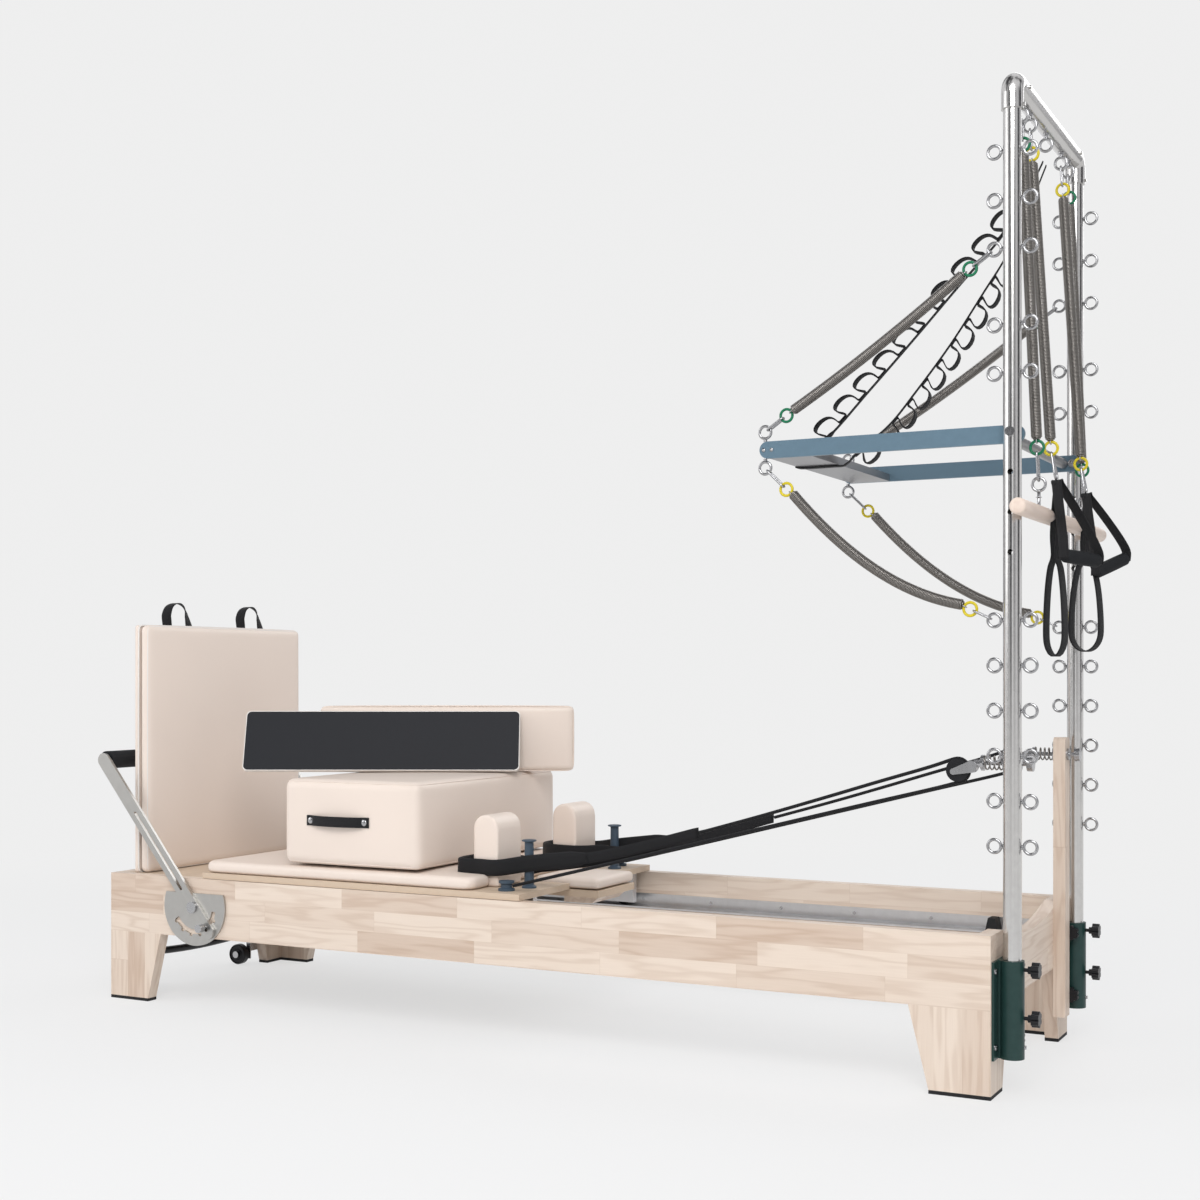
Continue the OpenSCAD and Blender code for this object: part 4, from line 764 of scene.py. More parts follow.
class PILATES_OT_woodwork(bpy.types.Operator):
    """Finish the rails, ends, legs, posts and boards"""
    bl_idname = "pilates.woodwork"
    bl_label = "Woodwork"

    def execute(self, context):
        make_looks(context.scene.pilates_looks)
        dress("wood_x", "side_rails")
        dress("wood_y", "end_panels", "headrest_prop")
        dress("wood_z", "legs")
        dress("post", "pulley_posts")
        dress("ply", "foot_platform", "carriage_deck", "headrest_board")
        return {"FINISHED"}


class PILATES_OT_metalwork(bpy.types.Operator):
    """Finish the tubes, brackets, bars and small fittings, and screw the push-through bar together"""
    bl_idname = "pilates.metalwork"
    bl_label = "Metalwork"

    def execute(self, context):
        dress("steel", "tower_uprights", "tower_crossbar")
        dress("arm", "footbar_arms", "footbar_plates")
        dress("zinc", "tower_eyebolts", "track_screws", "spring_bar", "wheel_brackets", "footbar_pivots",
              "footbar_lock_pin", "bracket_bolts", "pulley_rods", "push_pivot_bolts", "push_spring_hooks",
              "push_frame_eyes")
        dress("track", "carriage_tracks", "carriage_runners")
        dress("blue", "push_frame")
        dress("green", "tower_brackets")
        dress("slate", "deck_fittings")
        dress("plastic", "bracket_knobs", "transport_wheel_near", "transport_wheel_far", "carriage_wheels_head",
              "carriage_wheels_foot", "pulley_wheel_near", "pulley_wheel_far", "stretcher_tube")
        dress("rubber", "foot_pads", "carriage_stops")
        dress("foam", "footbar_grip")
        heads = []
        for _, turn in SIDES:
            for x in (-531, -512):
                line = [turn(at(x, -283.7, 1377)), turn(at(x, -285.4, 1377))]
                heads.append(sweep(line, round_section(0.0042, 18), (0, 0, 1)))
        new_piece("push_screws", joined(heads), "zinc", "push_bar")
        return {"FINISHED"}


def welt_loop(points, radius, closed=True):
    """A sewn edge that follows points, as a fine round cord."""
    path = curve_through(points, 0.008, closed)
    return sweep(path, round_section(radius, 8), (0.21, 0.33, 0.92), closed)


def rounded_rectangle(x0, x1, y0, y1, r, z, turns=6):
    """Points round a rectangle with rounded corners, at height z."""
    pts = []
    for cx, cy, a0 in ((x1 - r, y1 - r, 0), (x0 + r, y1 - r, 90), (x0 + r, y0 + r, 180), (x1 - r, y0 + r, 270)):
        for k in range(turns + 1):
            a = math.radians(a0 + 90 * k / turns)
            pts.append(Vector((cx + r * math.cos(a), cy + r * math.sin(a), z)))
    return pts


class PILATES_OT_mattress(bpy.types.Operator):
    """Upholster the mattress, the headrest pad and the two shoulder rests"""
    bl_idname = "pilates.mattress"
    bl_label = "Mattress and rests"

    def execute(self, context):
        cushions = context.scene.pilates_cushions
        mattress = softened("carriage_mattress", 0.0055, 9)
        finish_piece(mattress, "vinyl", "carriage", ["carriage_mattress"])
        rests = softened("shoulder_rests", 0.004, 9)
        finish_piece(rests, "vinyl", "carriage", ["shoulder_rests"])
        lo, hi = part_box("shoulder_rests")
        seams = []
        for side in (-1, 1):
            for y in (abs(lo[1]) - 0.005, abs(lo[1]) - 0.111):
                r = (hi[0] - lo[0]) / 2 - 0.0035
                cx, cz = (hi[0] + lo[0]) / 2, hi[2] - (hi[0] - lo[0]) / 2
                pts = [Vector((cx + r, side * y, lo[2] + 0.004))]
                pts += [Vector((cx + r * math.cos(a), side * y, cz + r * math.sin(a)))
                        for a in [math.pi * k / 12 for k in range(13)]]
                pts.append(Vector((cx - r, side * y, lo[2] + 0.004)))
                seams.append(welt_loop(pts, cushions.welt, False))
        new_piece("rest_seams", joined(seams), "vinyl", "carriage")
        lo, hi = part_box("headrest_pad")
        v, f = soft_block(lo, hi, 0.011, (0, 0, 0.0035), cushions.cells, 0.0015)
        pad = new_piece("headrest_cushion", (v, f), "vinyl", "headrest", ["headrest_pad"])
        return {"FINISHED"}


class PILATES_OT_sitting_box(bpy.types.Operator):
    """Upholster the sitting box and fit its strap handles"""
    bl_idname = "pilates.sitting_box"
    bl_label = "Sitting box"

    def execute(self, context):
        cushions = context.scene.pilates_cushions
        lo, hi = [Vector(c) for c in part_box("sitting_box")]
        r, crown = 0.022, (0.002, 0.002, 0.0035)
        v, f = soft_block(lo, hi, r, crown, cushions.cells)
        box = new_piece("box_cover", (v, f), "vinyl", "sitting_box", ["sitting_box"])
        inset = crown[0] + 0.29 * r
        seams = []
        for z in (hi.z - crown[2] - 0.29 * r, lo.z + crown[2] + 0.29 * r):
            pts = rounded_rectangle(lo.x + inset, hi.x - inset, lo.y + inset, hi.y - inset, 0.7 * r, z)
            seams.append(welt_loop(pts, cushions.welt * 0.8))
        new_piece("box_seams", joined(seams), "vinyl", "sitting_box")
        hlo, hhi = [Vector(c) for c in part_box("box_handles")]
        mid, z = (hlo.x + hhi.x) / 2, (hlo.z + hhi.z) / 2
        straps, studs = [], []
        for side in (-1, 1):
            face = hhi.y - 0.0185
            rise = [(-0.095, 0.0), (-0.082, 0.0006), (-0.066, 0.007), (-0.035, 0.0135), (0, 0.0155), (0.035, 0.0135),
                    (0.066, 0.007), (0.082, 0.0006), (0.095, 0.0)]
            path = curve_through([Vector((mid + a, side * (face + b), z)) for a, b in rise], 0.005)
            straps.append(sweep(path, web_section(0.026, 0.0028), (0, 0, 1)))
            studs += [Vector((mid + s * 0.082, side * (face + 0.0026), z)) for s in (-1, 1)]
        new_piece("box_straps", joined(straps), "webbing", "sitting_box", ["box_handles"])
        screws = grown("box_screws", cloud_data(studs), stud_tree(LOOKS["zinc"]),
                       {"Stud Radius": 0.0085, "Turn": (math.pi / 2, 0, 0)})
        finish_piece(screws, "zinc", "sitting_box")
        return {"FINISHED"}


# Where the standing board and back cushion stand on the box, and how far they turn to the room
BOARD_AT, BOARD_YAW, BOARD_LEAN = at(-1718.5, -70.5, 0), 27.6, 22
BOARD_THICK, BOARD_HALF, BOARD_HIGH = 0.015, 0.371, 0.17
ON_BOX = Matrix.Translation(BOARD_AT) @ Matrix.Rotation(math.radians(BOARD_YAW), 4, "Z")


class PILATES_OT_loose_boards(bpy.types.Operator):
    """Make the black standing board and the long cushion behind it"""
    bl_idname = "pilates.loose_boards"
    bl_label = "Standing board and back cushion"

    def execute(self, context):
        cushions = context.scene.pilates_cushions
        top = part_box("standing_board")[0][2]
        lean = math.radians(BOARD_LEAN)
        lift = Matrix.Translation((0, 0, top + BOARD_THICK * math.sin(lean)))
        stand = ON_BOX @ lift @ Matrix.Rotation(-lean, 4, "X")
        outline = rounded_rectangle(-BOARD_HALF, BOARD_HALF, 0, BOARD_HIGH, 0.012, 0)
        middle = BOARD_HIGH / 2

        def slab(y0, y1, inset):
            wide, high = 1 - inset / BOARD_HALF, 1 - inset / middle
            pts = [(p.x * wide, y0, middle + (p.y - middle) * high) for p in outline]
            n = len(pts)
            verts = pts + [(x, y1, z) for x, _, z in pts]
            faces = [(k, (k + 1) % n, n + (k + 1) % n, n + k) for k in range(n)]
            return moved(verts, stand), faces + [tuple(reversed(range(n))), tuple(range(n, 2 * n))]

        v, f = slab(0.001, 0.014, 0)
        new_piece("board_core", (v, f), "piping", "standing_board", ["standing_board"], False)
        parts = []
        for y0, y1 in ((0, 0.0012), (0.0138, BOARD_THICK)):
            v, f = slab(y0, y1, 0.0022)
            parts.append((v, f, [(0, 0)] * len(v)))
        new_piece("board_faces", joined(parts), "laminate", "standing_board", smooth=False)
        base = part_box("back_cushion")[0][2]
        place = ON_BOX @ Matrix.Translation((0.170, 0.0015, base))
        size = (0.691, 0.060, 0.177)
        v, f = soft_block((-size[0] / 2, 0.077, 0.001), (size[0] / 2, 0.137, size[2]), 0.013, (0.0, 0.0045, 0.0),
                          cushions.cells)
        back = new_piece("long_cushion", (moved(v, place), f), "vinyl", "back_cushion", ["back_cushion"])
        seams = []
        for y in (0.0875, 0.1265):
            pts = [Vector((p.x, y, p.y)) for p in rounded_rectangle(-size[0] / 2 + 0.0012, size[0] / 2 - 0.0012,
                                                                    0.0022, size[2] - 0.0012, 0.016, 0)]
            seams.append(welt_loop(moved(pts, place), cushions.welt))
        new_piece("long_cushion_seams", joined(seams), "vinyl", "back_cushion")
        return {"FINISHED"}


class PILATES_OT_jump_board(bpy.types.Operator):
    """Make the jump board: plywood back, padded face with piping, pins and loops"""
    bl_idname = "pilates.jump_board"
    bl_label = "Jump board"

    def execute(self, context):
        cushions = context.scene.pilates_cushions
        lo, hi = [Vector(c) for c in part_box("jump_board")]
        bottom = lo.z + 0.0503
        ply = 0.015
        z0, z1, y1 = bottom, hi.z, hi.y
        v, f = soft_block((lo.x, -y1, z0), (lo.x + ply - 0.0005, y1, z1), 0.006, (0, 0, 0), cushions.cells)
        new_piece("jump_back", (v, f), "vinyl", "jump_board", ["jump_board"])
        v, f = soft_block((lo.x + ply, -y1, z0), (hi.x, y1, z1), 0.016, (0.0045, 0, 0), cushions.cells)
        pad = new_piece("jump_pad", (v, f), "vinyl", "jump_board")
        welts = []
        for x, inset, r in ((lo.x + ply, 0.0012, 0.0026), (hi.x - 0.0092, 0.0046, cushions.welt)):
            pts = [Vector((x, p.x, p.y)) for p in rounded_rectangle(-y1 + inset, y1 - inset, z0 + inset, z1 - inset,
                                                                    0.012, 0)]
            welts.append(welt_loop(pts, r))
        new_piece("jump_piping", joined(welts), "piping", "jump_board")
        pins = []
        for y in (-0.230, 0.230):
            x = lo.x + 0.0125
            line = [Vector((x, y, lo.z)), Vector((x, y, bottom + 0.001))]
            pins.append(sweep(line, round_section(0.01, 28), (1, 0, 0)))
        new_piece("jump_pins", joined(pins), "zinc", "jump_board")
        lift = [(47, -24), (47, -8), (46, 8), (43, 30), (33, 52), (14, 64), (-10, 64), (-28, 54), (-38, 34),
                (-41, 10), (-42, -8), (-42, -24)]
        loops = []
        for side in (-1, 1):
            path = [Vector((lo.x - 0.0017, side * 0.157 + a / 1000, z1 + b / 1000)) for a, b in lift]
            path = curve_through(path, 0.005)
            turns = []
            for i, p in enumerate(path):
                t = i / (len(path) - 1)
                twist = math.radians(90 + 150 * max(0, min(1, (t - 0.12) / 0.76)))
                turns.append(Vector((math.cos(twist), math.sin(twist), 0.001)))
                lift_off = max(0.0, min(1.0, (p.z - z1) / 0.03))
                path[i] = p - Vector((0.006 * lift_off, 0, 0))
            loops.append(sweep(path, web_section(0.026, 0.0022), turns))
        new_piece("jump_straps", joined(loops), "webbing", "jump_board", ["jump_loops"])
        return {"FINISHED"}


def spring_line(a, b, sag, count=60):
    """A guide line between two rings that hangs by sag at its middle."""
    a, b = along(a, b, SPRING_END), along(b, a, SPRING_END)
    return [a + (b - a) * t - Vector((0, 0, 4 * sag * t * (1 - t))) for t in [k / count for k in range(count + 1)]]


def spring_tail(ring, inside, wire=0.0014):
    """The wire that leaves a spring's end and hooks round its ring."""
    u = (inside - ring).normalized()
    y = Vector((0, 0.0052, 0))
    pts = [ring + u * 0.030, ring + u * 0.021, ring + u * RING_R + y, ring + u * (RING_R - 0.0052),
           ring + u * RING_R - y, ring + u * 0.020 - y * 0.2]
    return sweep(curve_through(pts, 0.0025), round_section(wire, 8), u.cross(Vector((0, 1, 0))))


# The springs on the pulley rods and under the carriage: first end, length and line, from the head end in mm
PULLEY_SPRING_X, PULLEY_SPRING_L, PULLEY_SPRING_Y, PULLEY_SPRING_Z = -44.4, 38.8, 233, 687
CARRIAGE_SPRING_X, CARRIAGE_SPRING_L, CARRIAGE_SPRING_Z = -1920, 370, 302
CARRIAGE_SPRING_YS = (-180, -90, 0, 90, 180)
CARRIAGE_SPRING_RODS = ((-2053.4, -1916), (-1554, -1520.4))


class PILATES_OT_springs(bpy.types.Operator):
    """Wind the tower's springs and set their coloured rings"""
    bl_idname = "pilates.springs"
    bl_label = "Springs"

    def execute(self, context):
        springs = context.scene.pilates_springs
        tree = coil_tree(LOOKS["spring"])

        def wind(name, line, body, nodes=(), out=SPRING_OUT, pitch=None, wire=None, taper=0.5):
            length = sum((q - p).length for p, q in zip(line, line[1:]))
            wire = wire or springs.wire
            turns = max(3, round(length / (pitch or springs.pitch)))
            obj = grown(name, line_data(line), tree,
                        {"Turns": turns, "Coil Radius": out - wire, "Wire Radius": wire, "End Taper": taper})
            return finish_piece(obj, "spring", body, nodes)

        for side, turn in SIDES:
            upper = spring_line(turn(RING_UP_TOWER), turn(RING_UP_FRONT), 0.008)
            lower = spring_line(turn(RING_LOW_TOWER), turn(RING_LOW_FRONT), 0.048)
            nodes = ["push_springs"] if side == "near" else []
            a = wind(f"push_spring_upper_{side}", upper, None, nodes)
            b = wind(f"push_spring_lower_{side}", lower, None)
            for obj, tower, front in ((a, RING_UP_TOWER, RING_UP_FRONT), (b, RING_LOW_TOWER, RING_LOW_FRONT)):
                tuple(turn(tower))
                tuple(turn(front))
                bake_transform(obj)
            ends = {"frame": ((RING_UP_TOWER, upper[1]), (RING_LOW_TOWER, lower[1])),
                    "push_bar": ((RING_UP_FRONT, upper[-2]), (RING_LOW_FRONT, lower[-2])),
                    "roll_down": ((ROLL_RING_TOP, ROLL_RING_LOW), (ROLL_RING_LOW, ROLL_RING_TOP)),
                    f"arm_{side}": ((ARM_RING_TOP, ARM_RING_LOW), (ARM_RING_LOW, ARM_RING_TOP))}
            for body, pairs in ends.items():
                tails = []
                for ring, inside in pairs:
                    tails.append(spring_tail(turn(ring), inside if body in ("frame", "push_bar") else turn(inside)))
                new_piece(f"spring_tails_{body}_{side}", joined(tails), "zinc", body)
            wind(f"roll_spring_{side}", spring_line(turn(ROLL_RING_TOP), turn(ROLL_RING_LOW), 0), "roll_down")
            wind(f"arm_spring_coil_{side}", spring_line(turn(ARM_RING_TOP), turn(ARM_RING_LOW), 0), f"arm_{side}")
            y = -PULLEY_SPRING_Y if side == "near" else PULLEY_SPRING_Y
            line = [at(PULLEY_SPRING_X + PULLEY_SPRING_L * k / 20, y, PULLEY_SPRING_Z) for k in range(21)]
            wind(f"pulley_coil_{side}", line, "frame", ["pulley_springs"] if side == "near" else [], 0.016, 0.0088,
                 0.0017, 0.0)
        lines = []
        for k, y in enumerate(CARRIAGE_SPRING_YS):
            line = [at(CARRIAGE_SPRING_X + CARRIAGE_SPRING_L * t / 40, y, CARRIAGE_SPRING_Z) for t in range(41)]
            wind(f"carriage_coil_{k + 1}", line, "carriage", ["carriage_springs"] if k == 0 else [], 0.013, 0.0052,
                 0.0017, 0.6)
            for x0, x1 in CARRIAGE_SPRING_RODS:
                rod = [at(x0, y, CARRIAGE_SPRING_Z), at(x1, y, CARRIAGE_SPRING_Z)]
                lines.append(sweep(rod, round_section(0.003, 12), (0, 0, 1)))
        new_piece("carriage_spring_rods", joined(lines), "zinc", "carriage")

        groups = {"frame": [], "push_bar": [], "roll_down": [], "arm_near": [], "arm_far": []}
        for side, turn in SIDES:
            groups["frame"] += [("ring_green", turn(RING_UP_TOWER)), ("ring_yellow", turn(RING_LOW_TOWER))]
            groups["push_bar"] += [("ring_green", turn(RING_UP_FRONT)), ("ring_yellow", turn(RING_LOW_FRONT))]
            groups["roll_down"] += [("ring_green", turn(ROLL_RING_TOP)), ("ring_green", turn(ROLL_RING_LOW))]
            groups[f"arm_{side}"] += [("ring_yellow", turn(ARM_RING_TOP)), ("ring_yellow", turn(ARM_RING_LOW))]
        for body, rings in groups.items():
            for look in ("ring_green", "ring_yellow"):
                points = [p for kind, p in rings if kind == look]
                if points:
                    obj = grown(f"{body}_{look}", cloud_data(points), ring_tree(LOOKS[look]),
                                {"Ring Radius": RING_R, "Section": RING_SECTION + 0.0005})
                    finish_piece(obj, look, body)
        return {"FINISHED"}


LINK_WIRE, LINK_GAP = 0.0025, 0.0003


def oval_link(a, b, room_a, room_b, wire=LINK_WIRE, width=0.014, wide=0.014):
    """A closed link between two ring centres, in the plane of Y and its length; wide at b's end."""
    u = (b - a).normalized()
    start, stop = a + u * room_a, b - u * room_b
    side = Vector((0, 1, 0))
    side = (side - u * side.dot(u)).normalized()
    pts = []
    for centre, spin, r in ((start + u * width / 2, math.pi, width / 2), (stop - u * wide / 2, 0, wide / 2)):
        for k in range(9):
            t = spin - math.pi / 2 + math.pi * k / 8
            pts.append(centre + u * (r * math.cos(t)) + side * (r * math.sin(t)))
    return sweep(curve_through(pts, 0.004, True), round_section(wire, 10), u.cross(side), True)


EYE_ROOM = EYE_R - EYE_WIRE - LINK_WIRE - LINK_GAP
RING_ROOM = RING_R - RING_SECTION - LINK_WIRE - LINK_GAP


class PILATES_OT_hooks(bpy.types.Operator):
    """Link the roll-down bar and the arm springs to their eyes"""
    bl_idname = "pilates.hooks"
    bl_label = "Snap hooks"

    def execute(self, context):
        links = []
        for _, turn in SIDES:
            links.append(oval_link(turn(ROLL_TOP_EYE), turn(ROLL_RING_TOP), EYE_ROOM, RING_ROOM))
            links.append(oval_link(turn(ROLL_EYE), turn(ROLL_RING_LOW), EYE_ROOM, RING_ROOM))
        new_piece("roll_hooks", joined(links), "zinc", "roll_down", ["roll_down_springs"])
        for name, turn in SIDES:
            links = [oval_link(turn(ARM_EYE), turn(ARM_RING_TOP), EYE_ROOM, RING_ROOM),
                     oval_link(turn(ARM_RING_LOW), turn(ARM_HOOK), RING_ROOM, 0, wide=0.024)]
            new_piece(f"arm_hooks_{name}", joined(links), "zinc", f"arm_{name}", [f"arm_spring_{name}"])
        return {"FINISHED"}


class PILATES_OT_roll_down_bar(bpy.types.Operator):
    """Turn the roll-down dowel and fit its steel eyes"""
    bl_idname = "pilates.roll_down_bar"
    bl_label = "Roll-down bar"

    def execute(self, context):
        x, z, half, r = ROLL_EYE.x, 1.214, 0.413, 0.017
        stops = [(-half, 0.0125), (-half + 0.0015, 0.0155), (-half + 0.0045, r)]
        stops += [(-half + 0.0045 + (2 * half - 0.009) * k / 12, r) for k in range(1, 12)]
        stops += [(half - 0.0045, r), (half - 0.0015, 0.0155), (half, 0.0125)]
        v, f, _ = sweep([Vector((x, y, z)) for y, _ in stops], round_section(1, 40), (0, 0, 1))
        for i, (y, size) in enumerate(stops):
            for k in range(40):
                v[i * 40 + k] = Vector((x, y, z)) + (v[i * 40 + k] - Vector((x, y, z))) * size
        new_piece("dowel", (v, f), "dowel", "roll_down", ["roll_down_bar"])
        parts = []
        for _, turn in SIDES:
            eye = turn(ROLL_EYE)
            ring = [eye + Vector((EYE_R * math.sin(a), 0, EYE_R * math.cos(a)))
                    for a in [2 * math.pi * k / 36 for k in range(36)]]
            parts.append(sweep(ring, round_section(EYE_WIRE, 12), (0, 1, 0), True))
            for a, b, size in ((-0.0125, -0.066, 0.0035), (-0.0125, -0.016, 0.0055), (-0.0265, -0.0275, 0.006),
                               (-0.0605, -0.066, 0.0068)):
                line = [eye + Vector((0, 0, a)), eye + Vector((0, 0, b))]
                parts.append(sweep(line, round_section(size, 20), (1, 0, 0)))
        new_piece("dowel_eyes", joined(parts), "zinc", "roll_down")
        return {"FINISHED"}


# The ladder strap: down from the crossbar, round the front board and back up, from the head end in mm
LADDER = [(24, 0, 2020), (-20, -4, 1930), (-63, -8, 1866), (-157, -25, 1760), (-254, -50, 1644),
          (-353, -75, 1529), (-449, -92, 1424), (-500, -96, 1390), (-514, -98, 1382), (-522, -98, 1378),
          (-521.2, -98, 1356.2), (-516, -98, 1355.4), (-430, -97, 1355.4), (-408, -96, 1356), (-397, -93, 1364),
          (-384, -90, 1379), (-306, -75, 1446), (-253, -55, 1517), (-177, -35, 1623), (-102, -15, 1744),
          (-63, -10, 1804), (-14, -5, 1900), (31, 0, 2010)]


class PILATES_OT_ladder_strap(bpy.types.Operator):
    """Make the ladder strap with its hand loops"""
    bl_idname = "pilates.ladder_strap"
    bl_label = "Ladder strap"

    def execute(self, context):
        straps = context.scene.pilates_straps
        base = curve_through([at(*p) for p in LADDER], 0.012)
        section = web_section(0.024, straps.thick)
        edge = at(-440, 0, 0).x
        side = [Vector((0, 1, 0)) if p.x < edge else Vector((-0.3, 1, 0)) for p in base]
        parts = [sweep(base, section, side)]
        for first, last in ((1, 7), (15, 21)):
            path = curve_through([at(*p) for p in LADDER[first:last]], 0.003)
            run = [0.0]
            for p, q in zip(path, path[1:]):
                run.append(run[-1] + (q - p).length)
            pitch = run[-1] / straps.loops
            hung, faces = [], []
            for i, p in enumerate(path):
                t = max(0.0, ((run[i] / pitch) % 1) * 1.6 - 0.6)
                ahead = (path[min(i + 1, len(path) - 1)] - path[max(i - 1, 0)]).normalized()
                out = Vector((ahead.z, 0, -ahead.x)).normalized()
                downhill = ahead if ahead.z < 0 else -ahead
                swell = math.sin(math.pi * t)
                hung.append(p + out * (0.036 * swell ** 0.8 + 0.0029) - ahead * 0.012 * math.sin(2 * math.pi * t)
                            + downhill * 0.012 * swell)
                faces.append(Vector((-0.3 + 0.3 * swell, 1, 0)))
            parts.append(sweep(hung, section, faces))
        strap = new_piece("ladder", joined(parts), "webbing", None, ["ladder_strap"])
        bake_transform(strap)
        return {"FINISHED"}


PULLEY, PULLEY_WRAP = (-103.5, 670), 25.2
ROPE_FIXED = (-160, -233, 660)  # A point on the ropes near the pulley
ROPE_TOP = [(-711, -234, 508.9), (-560, -233.5, 553), (-420, -233, 596), (-280, -233, 640), (-160, -233, 677)]
ROPE_LOW = [(-140, -235, 633), (-300, -244, 592), (-500, -256, 540), (-700, -268, 488), (-900, -281, 436),
            (-1060, -291, 395), (-1140, -297, 374.5), (-1171.5, -300, 366.5)]


class PILATES_OT_ropes(bpy.types.Operator):
    """Lay the two ropes over their pulleys"""
    bl_idname = "pilates.ropes"
    bl_label = "Ropes"

    def execute(self, context):
        r = context.scene.pilates_straps.rope
        wrap = [(PULLEY[0] + PULLEY_WRAP * math.cos(a), -233, PULLEY[1] + PULLEY_WRAP * math.sin(a))
                for a in map(math.radians, range(107, -77, -13))]
        for name, turn in SIDES:
            path = curve_through([turn(at(*p)) for p in ROPE_TOP + wrap + ROPE_LOW], 0.008)
            form = sweep(path, round_section(r, 12), (0.02, 1, 0.03))
            rope = new_piece(f"rope_{name}", form, "rope", None, ["ropes"] if name == "near" else [])
            tuple(turn(at(*ROPE_TOP[0])))
            tuple(turn(at(*ROPE_FIXED)))
            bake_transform(rope)
        return {"FINISHED"}


HAND_LOOP = [(-1345, -266, 402.3), (-1290, -264.3, 402.3), (-1240, -264.3, 402.3), (-1168, -243, 414),
             (-1000, -240, 436), (-860, -237, 468), (-722, -234.6, 506), (-714, -234, 508), (-722, -233.4, 506),
             (-860, -221, 464), (-1000, -211, 428), (-1145, -204, 404), (-1178, -204, 401), (-1232, -139.7, 401),
             (-1320, -139.7, 402.3), (-1352, -170, 402.3), (-1358, -210, 402.3), (-1355, -240, 402.3)]


class PILATES_OT_hand_loops(bpy.types.Operator):
    """Lay the padded hand loops round the shoulder rests"""
    bl_idname = "pilates.hand_loops"
    bl_label = "Hand loops"

    def execute(self, context):
        straps = context.scene.pilates_straps
        for name, turn in SIDES:
            path = curve_through([turn(at(*p)) for p in HAND_LOOP], 0.01, True)
            parts = [sweep(path, web_section(0.026, straps.thick), (0.01, 0.02, 1), True)]
            pad = [turn(at(*p)) for p in HAND_LOOP[11:] + HAND_LOOP[:5]]
            sleeve = curve_through(pad, 0.01)
            n = len(sleeve) - 1
            section = web_section(0.040, 0.007, 0.003)
            verts, faces, uvs = sweep(sleeve, section, (0.01, 0.02, 1))
            m = len(section)
            for i, centre in enumerate(sleeve):
                squeeze = min(1, 0.62 + 6 * min(i, n - i) / n)
                for k in range(m):
                    verts[i * m + k] = centre + (verts[i * m + k] - centre) * squeeze
            parts.append((verts, faces, uvs))
            loop = new_piece(f"hand_loop_{name}", joined(parts), "webbing", None,
                             ["strap_loops"] if name == "near" else [])
            tuple(turn(at(*ROPE_TOP[0])))
            tuple(turn(at(*ROPE_FIXED)))
            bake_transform(loop)
        return {"FINISHED"}


class PILATES_OT_arm_handles(bpy.types.Operator):
    """Make the hand grips, their straps and the long foot loops"""
    bl_idname = "pilates.arm_handles"
    bl_label = "Arm handles"

    def execute(self, context):
        straps = context.scene.pilates_straps
        cases = [("near", (110, -180, 1127), (162, -90, 1119), -1, (84, -145, 914), 22),
                 ("far", (116, 120, 1107), (167, 200, 1142), 1, (90, 140, 928), 37)]
        for name, ga, gb, side, low, spread in cases:
            a, b = at(*ga), at(*gb)
            e = (b - a).normalized()
            top = at(88, side * 151, 1290)
            up = Vector((0, 0, 0.017))
            flat = Vector((e.y, -e.x, 0))
            tip = Vector((0.002, 0, -0.0030))
            bit = Vector((0, 0.008, 0))
            path = curve_through([a - e * 0.0018 - up * 0.4, a - e * 0.0018 + up, top + tip - bit, top + tip + bit,
                                  b + e * 0.0018 + up, b + e * 0.0018 - up * 0.4], 0.006)
            parts = [sweep(path, web_section(0.026, straps.thick), flat)]
            across = Vector((0.954, -0.3, 0)) / 1000
            low_mid = at(low[0], low[1], low[2] + 45)
            neck = (top + Vector((low_mid.x, low_mid.y, top.z))) / 2 - Vector((0, 0, 0.115))
            hang = [top + Vector((0.002, 0, -0.0062)), neck - across * 7]
            for k in range(100, 441, 20):
                sin_k, cos_k = math.sin(math.radians(k)), math.cos(math.radians(k))
                height = (0.045 if sin_k < 0 else 0.170) * sin_k
                hang.append(low_mid + across * spread * cos_k + Vector((0, 0, height)))
            hang.append(neck + across * 7)
            loop = curve_through(hang, 0.008, True)
            parts.append(sweep(loop, web_section(0.025, straps.thick), (0.3, 0.954, 0), True))
            new_piece(f"handle_strap_{name}", joined(parts), "webbing", f"arm_{name}", [f"hand_strap_{name}"])
            n = 24
            line = [a + (b - a) * k / n for k in range(n + 1)]
            v, f, _ = sweep(line, round_section(1.0, 28), (0, 0, 1))
            for i, p in enumerate(line):
                t = i / n
                r = 0.0145 if 0 < i < n else 0.0125
                r += 0.0005 * math.sin(math.pi * t)
                for k in range(28):
                    v[i * 28 + k] = p + (v[i * 28 + k] - p) * r
            new_piece(f"hand_grip_{name}", (v, f), "foam", f"arm_{name}")
        return {"FINISHED"}


# The camera, solved from the photograph: place, turn from straight ahead, sensor and upward shift
VIEW_FROM, VIEW_YAW, SENSOR, VIEW_SHIFT = at(891.4, -3795, 877.4), 27.6, 36, 0.0612
# The floor glows like the backdrop, by this share at its middle and wholly beyond the second distance
FADE_FROM, FADE_TO, FADE_SHARE = 1.6, 4.5, 0.72
# Name, place, point aimed at, diameter in metres and power in watts
LAMPS = (("key", (2.2, -4.2, 4.2), (0, 0, 0.6), 3.2, 175),
         ("fill", (-4.0, -3.4, 2.6), (0, 0, 0.6), 3.5, 70),
         ("back", (1.0, 4.5, 3.8), (0, 0, 0.8), 3.0, 60))


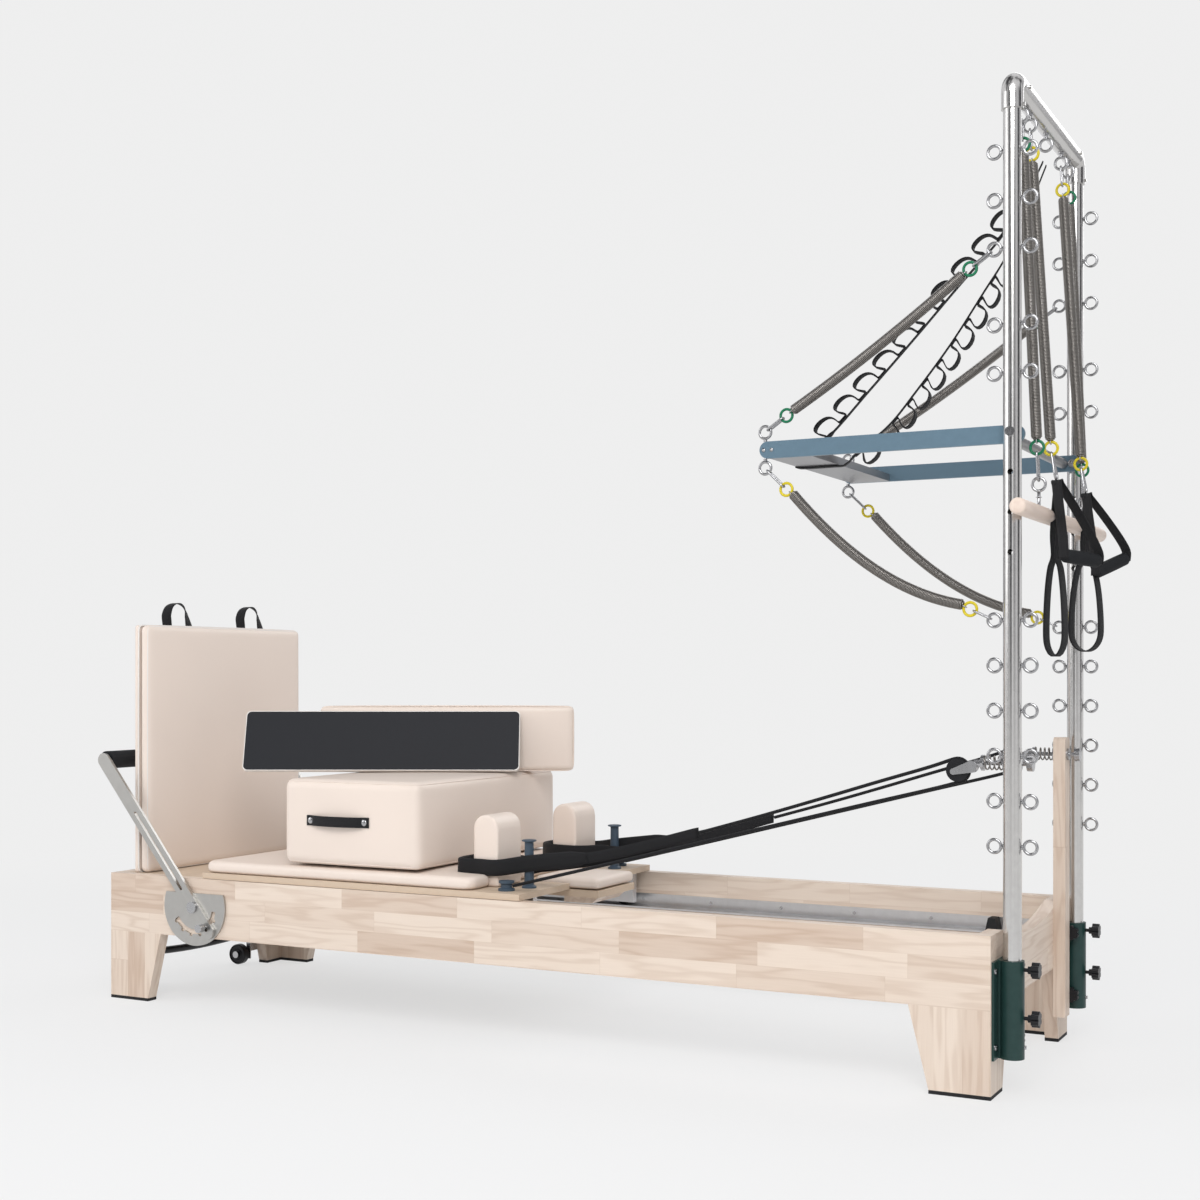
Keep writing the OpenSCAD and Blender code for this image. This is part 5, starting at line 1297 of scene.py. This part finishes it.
class PILATES_OT_stage(bpy.types.Operator):
    """Set the floor, the lights and the camera"""
    bl_idname = "pilates.stage"
    bl_label = "Stage"

    def execute(self, context):
        stage = context.scene.pilates_stage
        scene = context.scene
        tone = (stage.ground,) * 3 + (1,)
        material = bpy.data.materials.new("pale_floor")
        material.use_nodes = True
        w = Wires(material.node_tree)
        shader = next(n for n in w.tree.nodes if n.type == "BSDF_PRINCIPLED")
        out = next(n for n in w.tree.nodes if n.type == "OUTPUT_MATERIAL")
        shader.inputs["Roughness"].default_value = 0.9
        place = w.put("ShaderNodeTexCoord", out=3)
        speck = w.noise(place, 40.0, 3.0)
        w.link(w.mix(w.math("MULTIPLY", speck, 0.04), tone, (0.7, 0.7, 0.7, 1)), shader.inputs["Base Color"])
        away = w.vec("LENGTH", place, out=1)
        glow = w.put("ShaderNodeEmission", {"Color": tone, "Strength": 1.0})
        path = w.put("ShaderNodeLightPath", out=None)
        seen = w.math("MAXIMUM", path.outputs["Is Camera Ray"], path.outputs["Is Glossy Ray"])
        plain = w.put("ShaderNodeMapRange", {"Value": away, "From Min": FADE_FROM, "From Max": FADE_TO,
                                             "To Min": FADE_SHARE, "To Max": 1.0},
                      interpolation_type="SMOOTHSTEP")
        both = w.put("ShaderNodeMixShader", {0: w.math("MULTIPLY", seen, plain), 1: shader.outputs[0], 2: glow})
        w.link(both, out.inputs[0])
        bpy.ops.mesh.primitive_plane_add(size=60)
        floor = context.object
        floor.name = "floor"
        floor.data.materials.append(material)

        world = scene.world or bpy.data.worlds.new("studio")
        scene.world = world
        world.use_nodes = True
        w = Wires(world.node_tree)
        back = next(n for n in w.tree.nodes if n.type == "BACKGROUND")
        path = w.put("ShaderNodeLightPath", out=None)
        way = w.put("ShaderNodeTexCoord", out=0)
        patch = w.noise(w.vec("MULTIPLY", way, (1.5, 1.5, 0.35)), 1.7, 1.0)
        lit = w.math("MULTIPLY", w.math("SUBTRACT", patch, 0.44), 9.0, clamp=True)
        room = w.mix(lit, (0.05, 0.05, 0.055, 1), (0.95, 0.95, 0.97, 1))
        diffuse = w.mix(path.outputs["Is Glossy Ray"], (0.62, 0.63, 0.65, 1), room)
        w.link(w.mix(path.outputs["Is Camera Ray"], diffuse, tone), back.inputs["Color"])
        back.inputs["Strength"].default_value = 1.0

        for name, place, aim_at, size, power in LAMPS:
            data = bpy.data.lights.new(name, "AREA")
            data.shape = "DISK"
            data.size = size
            data.energy = power
            lamp = bpy.data.objects.new(name, data)
            scene.collection.objects.link(lamp)
            lamp.location = place
            lamp.rotation_euler = (Vector(aim_at) - Vector(place)).to_track_quat("-Z", "Y").to_euler()

        data = bpy.data.cameras.new("photo_view")
        data.lens = stage.lens
        data.sensor_width = SENSOR
        data.shift_y = VIEW_SHIFT
        camera = bpy.data.objects.new("photo_view", data)
        scene.collection.objects.link(camera)
        camera.location = VIEW_FROM
        camera.rotation_euler = (math.pi / 2, 0, math.radians(VIEW_YAW))
        scene.camera = camera
        scene.view_settings.view_transform = "Standard"
        return {"FINISHED"}


class PILATES_PT_panel(bpy.types.Panel):
    """Lists the makers of the pilates tower unit"""
    bl_label = "Pilates tower unit"
    bl_idname = "PILATES_PT_panel"
    bl_space_type = "VIEW_3D"
    bl_region_type = "UI"
    bl_category = "Pilates"

    def draw(self, context):
        for operator in MAKERS:
            self.layout.operator(operator.bl_idname)


SETTINGS = {"pilates_looks": LookSettings, "pilates_springs": SpringSettings, "pilates_cushions": CushionSettings,
            "pilates_straps": StrapSettings, "pilates_stage": StageSettings}
MAKERS = [PILATES_OT_stage, PILATES_OT_woodwork, PILATES_OT_ropes, PILATES_OT_metalwork, PILATES_OT_mattress,
          PILATES_OT_sitting_box, PILATES_OT_loose_boards, PILATES_OT_jump_board, PILATES_OT_springs,
          PILATES_OT_hooks, PILATES_OT_roll_down_bar, PILATES_OT_ladder_strap, PILATES_OT_hand_loops,
          PILATES_OT_arm_handles]


def register():
    for kind in SETTINGS.values():
        bpy.utils.register_class(kind)
    for name, kind in SETTINGS.items():
        setattr(bpy.types.Scene, name, PointerProperty(type=kind))
    for kind in MAKERS + [PILATES_PT_panel]:
        bpy.utils.register_class(kind)


def unregister():
    for kind in [PILATES_PT_panel] + MAKERS[::-1]:
        bpy.utils.unregister_class(kind)
    for name, kind in SETTINGS.items():
        delattr(bpy.types.Scene, name)
        bpy.utils.unregister_class(kind)


def main():
    register()
    for kind in MAKERS:
        group, name = kind.bl_idname.split(".")
        getattr(getattr(bpy.ops, group), name)()


if __name__ == "__main__":
    main()
